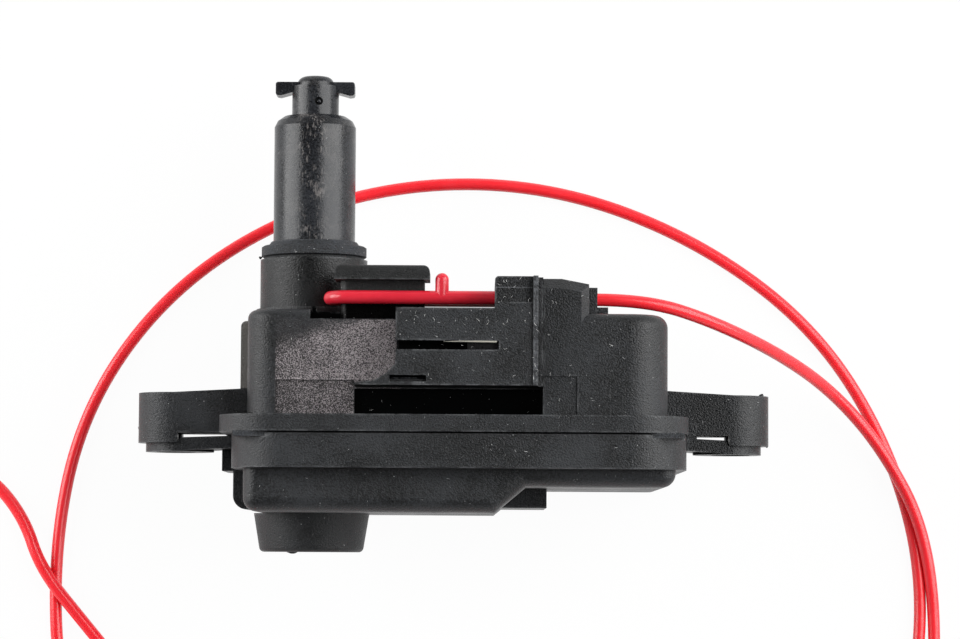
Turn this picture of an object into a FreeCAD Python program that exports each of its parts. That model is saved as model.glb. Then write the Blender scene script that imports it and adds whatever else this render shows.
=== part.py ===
import FreeCAD, Part
import math
import os

import Sketcher
from FreeCAD import Vector

# Fuel flap lock actuator, in millimetres.
# It lies on its back: +X runs from the pin side to the cord side, +Y along the push pin
# towards its head, +Z up, away from the surface that the back lies on.
# The origin is on that surface, under the middle of the actuator's own box.

os.makedirs("parts", exist_ok=True)
doc = FreeCAD.newDocument("flap_lock")
sheet = doc.addObject("Spreadsheet::Sheet", "sizes")


class Dim:
    """A size from the sheet, or a sum made of sizes, with the expression that gives it."""

    def __init__(self, value, text):
        self.value = float(value)
        self.text = text

    def __add__(self, other):
        return Dim(self.value + number(other), "(%s + %s)" % (self.text, words(other)))

    def __radd__(self, other):
        return self + other

    def __sub__(self, other):
        return Dim(self.value - number(other), "(%s - %s)" % (self.text, words(other)))

    def __rsub__(self, other):
        return Dim(number(other) - self.value, "(%s - %s)" % (words(other), self.text))

    def __mul__(self, other):
        return Dim(self.value * number(other), "(%s * %s)" % (self.text, words(other)))

    def __rmul__(self, other):
        return self * other

    def __truediv__(self, other):
        return Dim(self.value / number(other), "(%s / %s)" % (self.text, words(other)))

    def __neg__(self):
        return Dim(-self.value, "(-1 * %s)" % self.text)


def number(item):
    return item.value if isinstance(item, Dim) else float(item)


def words(item):
    return item.text if isinstance(item, Dim) else "(%.6f)" % item


def size(alias, value):
    """Puts one driving dimension into the sheet."""
    row = size.row
    size.row += 1
    sheet.set("A%d" % row, alias)
    sheet.set("B%d" % row, "%.6g" % value)
    sheet.setAlias("B%d" % row, alias)
    return Dim(value, "sizes." + alias)


size.row = 1

# Shells; the back lies at level 0
wall = size("wall", 2.0)
shell_left = size("shell_left", -32.0)
left_front = size("left_front", 35.5)
right_front = size("right_front", 41.0)
bay_x = size("bay_x", 13.8)
left_top = size("left_top", -0.5)
right_top = size("right_top", -1.3)
left_top_round = size("left_top_round", 1.4)
right_top_round = size("right_top_round", 2.0)
ledge_depth = size("ledge_depth", 1.5)
ledge_back = size("ledge_back", 28.2)
ledge_left = size("ledge_left", -22.1)
rear_lip = size("rear_lip", 2.0)
rear_top = size("rear_top", -1.3)
rear_front = size("rear_front", 18.0)
face_step = size("face_step", 0.25)
face_step_top = size("face_step_top", -11.5)
recess_left = size("recess_left", -15.2)
recess_depth = size("recess_depth", 1.2)
panel_right = size("panel_right", 19.0)
panel_top = size("panel_top", -11.0)
flange_top = size("flange_top", -17.1)
seam = size("seam", -19.7)
flange_lip_left = size("flange_lip_left", 3.8)
flange_lip_right = size("flange_lip_right", 3.1)
flange_front = size("flange_front", 46.0)
flange_round = size("flange_round", 9.0)
rim_inset = size("rim_inset", 0.3)
rim_shift = size("rim_shift", 1.9)
rim_reach = size("rim_reach", 1.0)
parting = size("parting", 0.3)
rim_bottom = size("rim_bottom", -25.2)
corner_left = size("corner_left", 4.6)
corner_right = size("corner_right", 6.0)
corner_back = size("corner_back", 4.0)
cover_inset_left = size("cover_inset_left", 2.0)
cover_inset_right = size("cover_inset_right", 1.8)
cover_reach = size("cover_reach", 3.1)
cover_rear_deep = size("cover_rear_deep", -31.3)
cover_front = size("cover_front", 42.0)
cover_deep = size("cover_deep", -31.9)
cover_shallow = size("cover_shallow", -27.9)
cover_round = size("cover_round", 2.2)
step_start = size("step_start", 6.5)
step_end = size("step_end", 11.3)
bump_right = size("bump_right", 14.7)
bump_front = size("bump_front", 26.0)
bump_deep = size("bump_deep", -30.9)
clip_reach = size("clip_reach", 1.5)
clip_top = size("clip_top", -17.8)
clip_bottom = size("clip_bottom", -22.0)
clip_back = size("clip_back", 27.5)
clip_front = size("clip_front", 34.0)
gasket_width = size("gasket_width", 0.8)
gasket_height = size("gasket_height", 0.8)
gasket_edge = size("gasket_edge", 0.7)

# Ears
ear_offset_left = size("ear_offset_left", 8.2)
ear_offset_right = size("ear_offset_right", 7.8)
ear_round = size("ear_round", 6.0)
ear_axis_height = size("ear_axis_height", 19.0)
ear_hole = size("ear_hole", 3.2)
ear_top = size("ear_top", -13.0)
ear_rise = size("ear_rise", 0.7)
ear_arm_bottom = size("ear_arm_bottom", -19.3)
ear_tip_bottom = size("ear_tip_bottom", -20.9)
ear_plate = size("ear_plate", 1.4)
ear_plate_inset = size("ear_plate_inset", 0.6)
ear_plate_step = size("ear_plate_step", 0.8)
ear_plate_rise = size("ear_plate_rise", 1.2)
ear_plate_bow = size("ear_plate_bow", 0.8)
ear_heel = size("ear_heel", 0.6)

# Push pin
pin_x = size("pin_x", -22.4)
pin_height = size("pin_height", 19.0)
tower_round = size("tower_round", 8.5)
tower_foot = size("tower_foot", 9.1)
tower_foot_top = size("tower_foot_top", 0.4)
tower_top = size("tower_top", 8.3)
seal_top = size("seal_top", 11.2)
bush_round = size("bush_round", 7.5)
bush_bottom = size("bush_bottom", -3.4)
sleeve_round = size("sleeve_round", 6.5)
sleeve_top = size("sleeve_top", 31.3)
sleeve_shoulder = size("sleeve_shoulder", 1.7)
sleeve_bottom = size("sleeve_bottom", -4.4)
sleeve_mouth = size("sleeve_mouth", 4.3)
sleeve_spring_seat = size("sleeve_spring_seat", 6.0)
neck_round = size("neck_round", 3.73)
neck_bottom = size("neck_bottom", 24.0)
neck_top = size("neck_top", 36.2)
dome_round = size("dome_round", 2.95)
dome_top = size("dome_top", 37.8)
dome_curve = size("dome_curve", 1.3)
dimple_round = size("dimple_round", 0.65)
dimple_level = size("dimple_level", 33.5)
dimple_side = size("dimple_side", 0.7)
stem_round = size("stem_round", 2.5)
stem_bottom = size("stem_bottom", -12.0)
stem_bore_top = size("stem_bore_top", -0.4)
rod_round = size("rod_round", 1.5)
rod_top = size("rod_top", -11.0)
bar_reach = size("bar_reach", 6.3)
bar_bottom = size("bar_bottom", 34.6)
bar_height = size("bar_height", 2.2)
bar_half = size("bar_half", 1.7)
bar_corner = size("bar_corner", 0.4)
stroke = size("stroke", 10.0)
run_fit = size("run_fit", 0.08)

# Spring and its cap
cap_bottom = size("cap_bottom", -38.0)
cap_foot_round = size("cap_foot_round", 8.15)
cap_round = size("cap_round", 9.15)
cap_spigot = size("cap_spigot", 7.4)
cap_spigot_top = size("cap_spigot_top", -28.4)
cap_floor = size("cap_floor", 1.6)
spring_wire = size("spring_wire", 0.9)
spring_round = size("spring_round", 4.1)
spring_turns = size("spring_turns", 8)
spring_sides = 8

# Connector shroud
plug_left = size("plug_left", -8.7)
plug_gap = size("plug_gap", 0.05)
plug_step = size("plug_step", 0.85)
plug_front = size("plug_front", 44.0)
plug_top = size("plug_top", -0.8)
plug_bottom = size("plug_bottom", -12.6)
plug_wall = size("plug_wall", 1.2)
plug_end = size("plug_end", 7.0)
tongue_left = size("tongue_left", -15.0)
tongue_rise = size("tongue_rise", 3.2)
slot_high = size("slot_high", -5.8)
slot_low = size("slot_low", -7.2)
notch_left = size("notch_left", -9.6)
notch_right = size("notch_right", -4.0)
ridge_width = size("ridge_width", 0.75)
ridge_rise = size("ridge_rise", 0.4)
plate_rise = size("plate_rise", 0.9)
guide_left = size("guide_left", 6.35)
guide_top = size("guide_top", 4.1)
guide_back = size("guide_back", 26.5)
guide_front = size("guide_front", 43.0)
guide_corner = size("guide_corner", 0.6)
nose_flat_end = size("nose_flat_end", 16.6)
nose_right = size("nose_right", 20.8)
nose_tip = size("nose_tip", 22.2)
nose_high = size("nose_high", 4.0)
nose_low = size("nose_low", 3.2)
nose_bevel = size("nose_bevel", 1.5)
tip_half = size("tip_half", 4.2)
foot_right = size("foot_right", 23.9)
foot_top = size("foot_top", 0.0)
foot_half = size("foot_half", 3.0)
contact_half = size("contact_half", 0.35)
contact_reach = size("contact_reach", 11.0)
contact_root = size("contact_root", 2.0)
carrier_length = size("carrier_length", 4.8)

# Emergency release
cord_round = size("cord_round", 1.0)
bar_round = size("bar_round", 1.05)
loop_level = size("loop_level", 1.4)
loop_left = size("loop_left", -16.4)
loop_right = size("loop_right", 7.0)
loop_back = size("loop_back", 29.0)
loop_front = size("loop_front", 34.55)
nub_left = size("nub_left", -2.85)
nub_right = size("nub_right", -0.75)
nub_top = size("nub_top", 5.2)
lug_left = size("lug_left", -17.6)
lug_right = size("lug_right", -4.5)
lug_back = size("lug_back", 30.3)
lug_front = size("lug_front", 33.2)
lug_head_bottom = size("lug_head_bottom", 4.1)
lug_head_top = size("lug_head_top", 6.4)
lug_head_round = size("lug_head_round", 1.1)
lug_head_side = size("lug_head_side", 0.8)
release_travel = size("release_travel", 7.0)
slide_gap = size("slide_gap", 0.3)

# Lock drive
gear_module = size("gear_module", 0.8)
wheel_teeth = 18
pinion_teeth = 8
wheel_x = size("wheel_x", -1.0)
wheel_y = size("wheel_y", -21.5)
wheel_back = size("wheel_back", 12.5)
wheel_width = size("wheel_width", 4.0)
pinion_back = size("pinion_back", 17.0)
pinion_width = size("pinion_width", 5.4)
axle_round = size("axle_round", 1.2)
bolt_back = size("bolt_back", 17.2)
bolt_front = size("bolt_front", 22.2)
bolt_tip = size("bolt_tip", -13.6)
bolt_end = size("bolt_end", 6.9)
worm_pitch_round = size("worm_pitch_round", 3.0)
worm_left = size("worm_left", -6.6)
worm_right = size("worm_right", 4.6)
shaft_round = size("shaft_round", 1.0)
motor_left = size("motor_left", 8.0)
motor_length = size("motor_length", 20.5)
motor_round = size("motor_round", 10.0)
motor_flat = size("motor_flat", 7.75)
motor_skin = size("motor_skin", 0.8)
motor_cap = size("motor_cap", 2.3)
motor_gap = size("motor_gap", 0.3)
magnet_start = size("magnet_start", 3.0)
magnet_inset = size("magnet_inset", 6.5)
core_start = size("core_start", 3.6)
core_inset = size("core_inset", 7.7)
core_round = size("core_round", 6.6)
saddle_width = size("saddle_width", 2.0)
saddle_rise = size("saddle_rise", 7.0)

# Sizes that follow from the ones above
shaft_y = wheel_y + gear_module * wheel_teeth / 2 + worm_pitch_round
shaft_height = wheel_back + wheel_width / 2
rack_line = wheel_y + gear_module * pinion_teeth / 2
bolt_top = sleeve_bottom - stroke - slide_gap
shell_right = motor_left + motor_length + motor_cap + motor_gap + wall
flange_left = shell_left - flange_lip_left
flange_right = shell_right + flange_lip_right
rim_left = flange_left + rim_shift
rim_rear = flange_left - rim_reach
rim_right = flange_right - rim_inset
cover_left = rim_left + cover_inset_left
cover_right = rim_right - cover_inset_right
ledge_top = left_top - ledge_depth
plug_side = bay_x - plug_gap
plug_right = bay_x - plug_step
magnet_length = motor_length - magnet_inset
core_length = motor_length - core_inset
loop_height = (loop_back + loop_front) / 2

parts = {}


def drive(item, path, dim):
    """Binds a property to the sheet, or sets it where it is a plain number."""
    if isinstance(dim, Dim):
        item.setExpression(path, dim.text)
    else:
        item.setExpression(path, "%.6f" % dim)


def keep(label, item):
    """Names a finished piece."""
    item.Label = label
    parts[label] = item
    return item


# Sketched bodies

def new_body(name, x=0, y=0, z=0):
    body = doc.addObject("PartDesign::Body", name)
    for path, dim in (("x", x), ("y", y), ("z", z)):
        if isinstance(dim, Dim):
            drive(body, ".Placement.Base." + path, dim)
    return body


def flat_sketch(body, role, height):
    sketch = body.newObject("Sketcher::SketchObject", body.Name + "_sketch")
    plane = [item for item in body.Origin.OriginFeatures if item.Role == role][0]
    sketch.AttachmentSupport = [(plane, "")]
    sketch.MapMode = "FlatFace"
    drive(sketch, ".AttachmentOffset.Base.z", height)
    return sketch


def pin_point(sketch, element, point, place):
    """Ties one point of a sketch to its distances from the origin."""
    for kind, dim in zip(("DistanceX", "DistanceY"), place):
        index = sketch.addConstraint(
            Sketcher.Constraint(kind, -1, 1, element, point, number(dim)))
        if isinstance(dim, Dim):
            sketch.setExpression("Constraints[%d]" % index, dim.text)


def outline(sketch, corners):
    """A closed outline of straight sides through the corners."""
    count = len(corners)
    first = sketch.GeometryCount
    points = [Vector(number(a), number(b), 0) for a, b in corners]
    for index in range(count):
        sketch.addGeometry(Part.LineSegment(points[index], points[(index + 1) % count]))
    for index in range(count):
        sketch.addConstraint(Sketcher.Constraint(
            "Coincident", first + index, 2, first + (index + 1) % count, 1))
    for index, corner in enumerate(corners):
        pin_point(sketch, first + index, 1, corner)


def ring(sketch, centre, radius):
    """One full circle."""
    middle = Vector(number(centre[0]), number(centre[1]), 0)
    element = sketch.addGeometry(Part.Circle(middle, Vector(0, 0, 1), number(radius)))
    pin_point(sketch, element, 3, centre)
    index = sketch.addConstraint(Sketcher.Constraint("Radius", element, number(radius)))
    if isinstance(radius, Dim):
        sketch.setExpression("Constraints[%d]" % index, radius.text)


def rectangle(low, high):
    return [(low[0], low[1]), (high[0], low[1]), (high[0], high[1]), (low[0], high[1])]


def extrude(body, role, cut, low, high):
    """A pad or a pocket between two levels along the plane's own axis. Returns its sketch."""
    start = low if (cut == (role == "XZ_Plane")) else high
    if role == "XZ_Plane":
        start = -start
    sketch = flat_sketch(body, role, start)
    kind = "PartDesign::Pocket" if cut else "PartDesign::Pad"
    feature = body.newObject(kind, body.Name + ("_cut" if cut else "_pad"))
    feature.Profile = sketch
    drive(feature, "Length", high - low)
    return sketch


def pad(body, role, low, high, corners):
    outline(extrude(body, role, False, low, high), corners)


def pad_round(body, role, low, high, centre, radius):
    ring(extrude(body, role, False, low, high), centre, radius)


def pocket(body, role, low, high, corners):
    outline(extrude(body, role, True, low, high), corners)


def pocket_round(body, role, low, high, centre, radius):
    ring(extrude(body, role, True, low, high), centre, radius)


def revolve(body, corners):
    """Turns a profile of (radius, level) about the body's own axis."""
    sketch = flat_sketch(body, "XY_Plane", 0)
    outline(sketch, corners)
    feature = body.newObject("PartDesign::Revolution", body.Name + "_turn")
    feature.Profile = sketch
    feature.ReferenceAxis = (sketch, ["V_Axis"])
    feature.Angle = 360.0


def pick_edges(shape, test):
    return ["Edge%d" % (index + 1) for index, edge in enumerate(shape.Edges) if test(edge)]


def along(edge, axis):
    """True where an edge is straight and runs along a row axis, 0 to 2."""
    if edge.Curve.TypeId != "Part::GeomLine":
        return False
    direction = edge.Curve.Direction
    return abs(abs(direction[axis]) - 1.0) < 1e-6


def near(edge, **place):
    """True where the edge's middle lies on the given levels."""
    middle = edge.CenterOfMass
    return all(abs(getattr(middle, axis) - number(level)) < 0.02
               for axis, level in place.items())


def finish_edges(body, radius, test, kind="Fillet"):
    """Rounds or bevels the edges of a body that pass the test."""
    doc.recompute()
    names = pick_edges(body.Tip.Shape, test)
    if not names:
        raise ValueError("no edge to finish on " + body.Name)
    base = body.Tip
    feature = body.newObject("PartDesign::" + kind, body.Name + "_edge")
    feature.Base = (base, names)
    drive(feature, "Radius" if kind == "Fillet" else "Size", radius)


# Primitives

def box(name, low, high):
    item = doc.addObject("Part::Box", name)
    for path, first, last in zip(("Length", "Width", "Height"), low, high):
        drive(item, path, last - first)
    for path, first in zip("xyz", low):
        drive(item, ".Placement.Base." + path, first)
    return item


TURNS = {
    "x": FreeCAD.Rotation(Vector(0, 1, 0), 90),
    "y": FreeCAD.Rotation(Vector(1, 0, 0), -90),
    "z": FreeCAD.Rotation(),
}


def rod(name, axis, start, radius, length):
    """A cylinder from a start point along +X, +Y or +Z."""
    item = doc.addObject("Part::Cylinder", name)
    item.Placement = FreeCAD.Placement(Vector(), TURNS[axis])
    drive(item, "Radius", radius)
    drive(item, "Height", length)
    for path, place in zip("xyz", start):
        drive(item, ".Placement.Base." + path, place)
    return item


def fuse(name, pieces):
    item = doc.addObject("Part::MultiFuse", name)
    item.Shapes = pieces
    return item


def cut(name, base, tool):
    item = doc.addObject("Part::Cut", name)
    item.Base = base
    item.Tool = tool
    return item


def common(name, first, second):
    item = doc.addObject("Part::Common", name)
    item.Base = first
    item.Tool = second
    return item


# Upper housing: one moulding with the tower, the flange, the ears and the cord's nose

def upper_housing():
    body = new_body("UpperHousing")
    shell(body)
    pad(body, "XZ_Plane", seam, flange_top,
        rectangle((flange_left, 0), (flange_right, flange_front)))
    finish_edges(body, flange_round,
                 lambda e: along(e, 1) and (near(e, x=flange_left) or near(e, x=flange_right)))
    clip(body)
    for side in (-1, 1):
        upper_ear(body, side)
    pad_round(body, "XZ_Plane", ledge_top - wall, tower_top, (pin_x, pin_height), tower_round)
    pad_round(body, "XZ_Plane", ledge_top - wall, tower_foot_top, (pin_x, pin_height), tower_foot)
    nose(body)
    hollow(body)
    face_marks(body)
    keep("upper_housing", body)


def shell(body):
    """The left column with the layer behind it, and the deeper right block."""
    pad(body, "XZ_Plane", flange_top, left_top, rectangle((shell_left, 0), (bay_x, left_front)))
    finish_edges(body, corner_left,
                 lambda e: along(e, 1) and near(e, x=shell_left, z=left_front))
    finish_edges(body, left_top_round,
                 lambda e: along(e, 2) and near(e, x=shell_left, y=left_top))
    pad(body, "XZ_Plane", flange_top, rear_top,
        rectangle((shell_left - rear_lip, 0), (shell_left + wall, rear_front)))
    finish_edges(body, rear_lip * 0.45,
                 lambda e: along(e, 2) and near(e, x=shell_left - rear_lip, y=rear_top))
    pad(body, "XZ_Plane", flange_top, right_top, rectangle((bay_x, 0), (shell_right, right_front)))
    finish_edges(body, corner_right,
                 lambda e: along(e, 1) and near(e, x=shell_right, z=right_front))
    finish_edges(body, right_top_round,
                 lambda e: along(e, 2) and near(e, x=shell_right, y=right_top))


def hollow(body):
    """The space inside, the bore in the tower and the slot for the release lug."""
    inner_right = shell_right - wall
    inner_left = shell_left + wall
    shelf = ledge_back - wall
    bay_left = bay_x + wall
    pocket(body, "XZ_Plane", seam, left_top - wall,
           rectangle((inner_left, wall), (bay_left, shelf)))
    pocket(body, "XZ_Plane", seam, ledge_top - wall,
           rectangle((inner_left, shelf), (bay_left, left_front - wall)))
    pocket(body, "XZ_Plane", seam, right_top - wall,
           rectangle((bay_left, wall), (inner_right, right_front - wall)))
    pocket_round(body, "XZ_Plane", seam, tower_top, (pin_x, pin_height), bush_round)
    pocket(body, "XZ_Plane", seam, left_top,
           rectangle((lug_left - slide_gap, lug_back - slide_gap),
                     (lug_right + release_travel + slide_gap, lug_front + slide_gap)))


def face_marks(body):
    """The ledge along the top, the step and the recess on the face, and the flat panel."""
    pocket(body, "XZ_Plane", ledge_top, left_top,
           rectangle((ledge_left, ledge_back), (bay_x, left_front)))
    pocket(body, "XY_Plane", left_front - face_step, left_front,
           rectangle((shell_left + corner_left, flange_top), (recess_left, face_step_top)))
    pocket(body, "XY_Plane", left_front - recess_depth, left_front,
           rectangle((recess_left, flange_top), (bay_x, plug_bottom - 0.2)))
    pocket(body, "XY_Plane", right_front - face_step, right_front,
           rectangle((bay_x, flange_top), (panel_right, panel_top)))


def clip(body):
    """The catch on the flange's right end, over the cover's rim."""
    outer = flange_right + clip_reach
    pad(body, "XY_Plane", clip_back, clip_front, [
        (flange_right, clip_bottom), (outer, clip_bottom + clip_reach), (outer, clip_top),
        (flange_right - 1, clip_top), (flange_right - 1, seam), (flange_right, seam)])


def ear_place(side):
    """The bolt hole's place and the shell's side that the ear stands on."""
    if side > 0:
        return flange_right + ear_offset_right, shell_right
    return flange_left - ear_offset_left, shell_left


def upper_ear(body, side):
    """One ear: a round end with a bolt hole and an arm that rises towards the shell."""
    ear_x, shell_x = ear_place(side)
    root = shell_x - side * wall / 2
    pad(body, "XY_Plane", ear_axis_height - ear_round, ear_axis_height + ear_round, [
        (root, ear_arm_bottom), (ear_x, ear_arm_bottom), (ear_x, ear_top),
        (root, ear_top + ear_rise)])
    centre = (ear_x, ear_axis_height)
    pad_round(body, "XZ_Plane", ear_tip_bottom, ear_top, centre, ear_round)
    clear = ear_round + ear_heel
    pocket(body, "XZ_Plane", ear_tip_bottom, ear_arm_bottom,
           rectangle((ear_x - side * ear_heel, ear_axis_height - clear),
                     (ear_x - side * clear, ear_axis_height + clear)))
    pocket_round(body, "XZ_Plane", ear_tip_bottom, ear_top, centre, ear_hole)


def nose(body):
    """The cord's guide on the right: a sloping block, its channel, the bored tip and a foot."""
    pad(body, "XY_Plane", guide_back, right_front, [
        (bay_x, right_top - wall), (nose_right, right_top - wall), (nose_right, nose_low),
        (nose_flat_end, nose_high), (bay_x, nose_high)])
    finish_edges(body, nose_bevel, lambda e: near(e, z=right_front) and over_nose(e), "Chamfer")
    finish_edges(body, nose_bevel * 0.8,
                 lambda e: along(e, 1) and near(e, x=nose_right, z=right_front), "Chamfer")
    pad(body, "XY_Plane", loop_height - tip_half, loop_height + tip_half,
        rectangle((nose_right, right_top - wall), (nose_tip, loop_level + bar_round + 0.5)))
    pad(body, "XY_Plane", loop_height - foot_half, loop_height + foot_half,
        rectangle((nose_tip, right_top - wall), (foot_right, foot_top)))
    channel_end = loop_right + (loop_front - loop_back) / 2 + bar_round + release_travel
    pocket(body, "YZ_Plane", bay_x, channel_end + slide_gap,
           rectangle((left_top, loop_back - bar_round - slide_gap),
                     (loop_level + bar_round + slide_gap, loop_front + bar_round + slide_gap)))
    pocket_round(body, "YZ_Plane", channel_end, nose_tip, (loop_level, loop_height),
                 bar_round + slide_gap)


def over_nose(edge):
    """True for the front edges along the nose's top."""
    span = edge.BoundBox
    return span.YMin > nose_low.value - 0.1 and span.XMin > bay_x.value - 0.1


# Lower cover: rim, stepped floor, ear plates

def lower_cover():
    body = new_body("LowerCover")
    pad(body, "XZ_Plane", rim_bottom, seam,
        rectangle((rim_left, 0), (rim_right, flange_front - rim_inset)))
    finish_edges(body, flange_round - rim_inset,
                 lambda e: along(e, 1) and (near(e, z=flange_front - rim_inset)
                                            or near(e, x=rim_right)))
    pad(body, "XZ_Plane", rim_bottom, seam,
        rectangle((rim_rear, 0), (rim_left + wall, rear_front)))
    finish_edges(body, corner_back, lambda e: along(e, 1) and near(e, x=rim_rear, z=0))
    finish_edges(body, parting, lambda e: near(e, y=seam), "Chamfer")
    pad(body, "XY_Plane", 0, cover_front, [
        (cover_left, rim_bottom), (cover_left, cover_deep), (step_start, cover_deep),
        (step_end, cover_shallow), (cover_right, cover_shallow), (cover_right, rim_bottom)])
    finish_edges(body, cover_round,
                 lambda e: along(e, 2) and (near(e, x=cover_left, y=cover_deep)
                                            or near(e, x=cover_right, y=cover_shallow)))
    rear_left = cover_left - cover_reach
    pad(body, "XZ_Plane", cover_rear_deep, rim_bottom,
        rectangle((rear_left, 0), (cover_left + wall, rear_front)))
    finish_edges(body, cover_round,
                 lambda e: along(e, 2) and near(e, x=rear_left, y=cover_rear_deep))
    finish_edges(body, cover_round,
                 lambda e: near(e, z=cover_front) and e.BoundBox.YMin < rim_bottom.value - 0.1)
    pad(body, "XY_Plane", 0, bump_front, [
        (step_start, rim_bottom), (step_start, bump_deep), (bump_right, bump_deep),
        (bump_right, rim_bottom)])
    for side in (-1, 1):
        lower_ear(body, side)
    cover_hollow(body)
    gasket_ring(extrude(body, "XZ_Plane", True, seam - gasket_height, seam), 0.1)
    keep("lower_cover", body)


def cover_hollow(body):
    """The space inside the cover and the bore that the spring cap fits."""
    floor_left = cover_left + wall
    floor_right = cover_right - wall
    pocket(body, "XY_Plane", wall, cover_front - wall, [
        (floor_left, seam), (floor_left, cover_deep + wall), (step_start - 0.8, cover_deep + wall),
        (step_end - 0.8, cover_shallow + wall), (floor_right, cover_shallow + wall),
        (floor_right, seam)])
    pocket(body, "XY_Plane", wall, bump_front - wall,
           rectangle((step_start - wall, bump_deep + wall), (bump_right - wall, seam)))
    pocket_round(body, "XZ_Plane", cover_deep, cover_deep + wall + 1, (pin_x, pin_height),
                 cap_spigot + run_fit)


def lower_ear(body, side):
    """The plate under each ear, a little smaller than the ear itself."""
    ear_x = ear_place(side)[0]
    rim_x = rim_right if side > 0 else rim_left
    root = rim_x - side * wall
    low = ear_axis_height - ear_round + ear_plate_inset
    high = ear_axis_height + ear_round - ear_plate_inset
    bottom = ear_tip_bottom - ear_plate
    heel = ear_x - side * ear_heel
    pad(body, "XY_Plane", low, high, [
        (root, ear_tip_bottom + ear_plate_rise), (heel - side * ear_heel,
                                                  ear_tip_bottom + ear_plate_step),
        (heel, ear_tip_bottom), (ear_x, ear_tip_bottom), (ear_x, bottom),
        (root, bottom + ear_plate_bow)])
    pad_round(body, "XZ_Plane", bottom, ear_tip_bottom,
              (ear_x - side * ear_plate_inset, ear_axis_height), ear_round - ear_plate_inset)
    pocket_round(body, "XZ_Plane", bottom, ear_tip_bottom + ear_plate_rise,
                 (ear_x, ear_axis_height), ear_hole)


def gasket_ring(sketch, side_gap):
    """Two outlines, one inside the other, a little way in from the rim's edge."""
    edge = gasket_edge - side_gap
    inner = gasket_edge + gasket_width + side_gap
    deep = flange_front - rim_inset
    for inset in (edge, inner):
        outline(sketch, rectangle((rim_left + inset, inset), (rim_right - inset, deep - inset)))


def housing_seal():
    body = new_body("HousingSeal")
    gasket_ring(extrude(body, "XZ_Plane", False, seam - gasket_height, seam), 0)
    keep("housing_seal", body)


# Push pin and what guides it

def spring_cap():
    body = new_body("SpringCap", pin_x, 0, pin_height)
    bore = spring_round + 0.4
    revolve(body, [
        (0, cap_bottom), (cap_foot_round, cap_bottom), (cap_round, cover_deep),
        (cap_spigot, cover_deep), (cap_spigot, cap_spigot_top), (bore, cap_spigot_top),
        (bore, cap_bottom + cap_floor), (0, cap_bottom + cap_floor)])
    finish_edges(body, 0.8, lambda e: near(e, y=cap_bottom) and e.Curve.TypeId == "Part::GeomCircle")
    keep("spring_cap", body)


def guide_bush():
    body = new_body("GuideBush", pin_x, 0, pin_height)
    bore = sleeve_round + run_fit
    revolve(body, [
        (bore, bush_bottom), (bush_round, bush_bottom), (bush_round, tower_top),
        (bore, tower_top)])
    keep("guide_bush", body)


def tower_seal():
    body = new_body("TowerSeal", pin_x, 0, pin_height)
    bore = sleeve_round + 0.1
    outer = tower_round - 0.15
    revolve(body, [
        (bore, tower_top), (outer - 0.4, tower_top), (outer - 0.4, tower_top + 0.35),
        (outer, tower_top + 0.6), (outer, seal_top - 0.9), (outer - 0.3, seal_top - 0.7),
        (outer - 1.1, seal_top - 0.6), (bore + 0.25, seal_top), (bore, seal_top)])
    keep("tower_seal", body)


def plunger_sleeve():
    body = new_body("PlungerSleeve", pin_x, 0, pin_height)
    stem_bore = stem_round + run_fit
    neck_bore = neck_round + run_fit
    revolve(body, [
        (sleeve_mouth, sleeve_bottom), (sleeve_round, sleeve_bottom),
        (sleeve_round, sleeve_top - sleeve_shoulder), (sleeve_round - 0.5, sleeve_top - 0.7),
        (sleeve_round - 1.5, sleeve_top), (neck_bore + 0.5, sleeve_top),
        (neck_bore + 0.3, sleeve_top - 0.9), (neck_bore, sleeve_top - 0.9),
        (neck_bore, neck_bottom), (stem_bore, neck_bottom), (stem_bore, sleeve_spring_seat),
        (sleeve_mouth, sleeve_spring_seat)])
    keep("plunger_sleeve", body)


def head_pin():
    body = new_body("HeadPin", pin_x, 0, pin_height)
    seat = neck_bottom + 0.1
    revolve(body, [
        (0, stem_bottom), (stem_round, stem_bottom), (stem_round, seat), (neck_round, seat),
        (neck_round, neck_top), (dome_round, neck_top), (dome_round, dome_top), (0, dome_top)])
    finish_edges(body, dome_curve,
                lambda e: near(e, y=dome_top) and e.Curve.TypeId == "Part::GeomCircle")
    pad(body, "XY_Plane", -bar_half, bar_half, [
        (-bar_reach, bar_bottom + 0.1), (-bar_reach, bar_bottom + bar_height),
        (bar_reach, bar_bottom + bar_height), (bar_reach, bar_bottom + 0.1),
        (bar_reach - 0.8, bar_bottom), (neck_round, bar_bottom + 0.5),
        (-neck_round, bar_bottom + 0.5), (-bar_reach + 0.8, bar_bottom)])
    finish_edges(body, bar_corner, lambda e: along(e, 2) and (near(e, x=bar_reach)
                                                              or near(e, x=-bar_reach)))
    pocket_round(body, "XZ_Plane", stem_bottom, stem_bore_top, (0, 0), rod_round + run_fit)
    pocket_round(body, "XY_Plane", neck_round - 0.5, neck_round, (dimple_side, dimple_level),
                 dimple_round)
    keep("head_pin", body)


def guide_rod():
    """A rod on the cap's floor that the stem slides on."""
    floor = cap_bottom + cap_floor
    keep("guide_rod", rod("GuideRod", "y", (pin_x, floor, pin_height), rod_round,
                          rod_top - floor))


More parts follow.
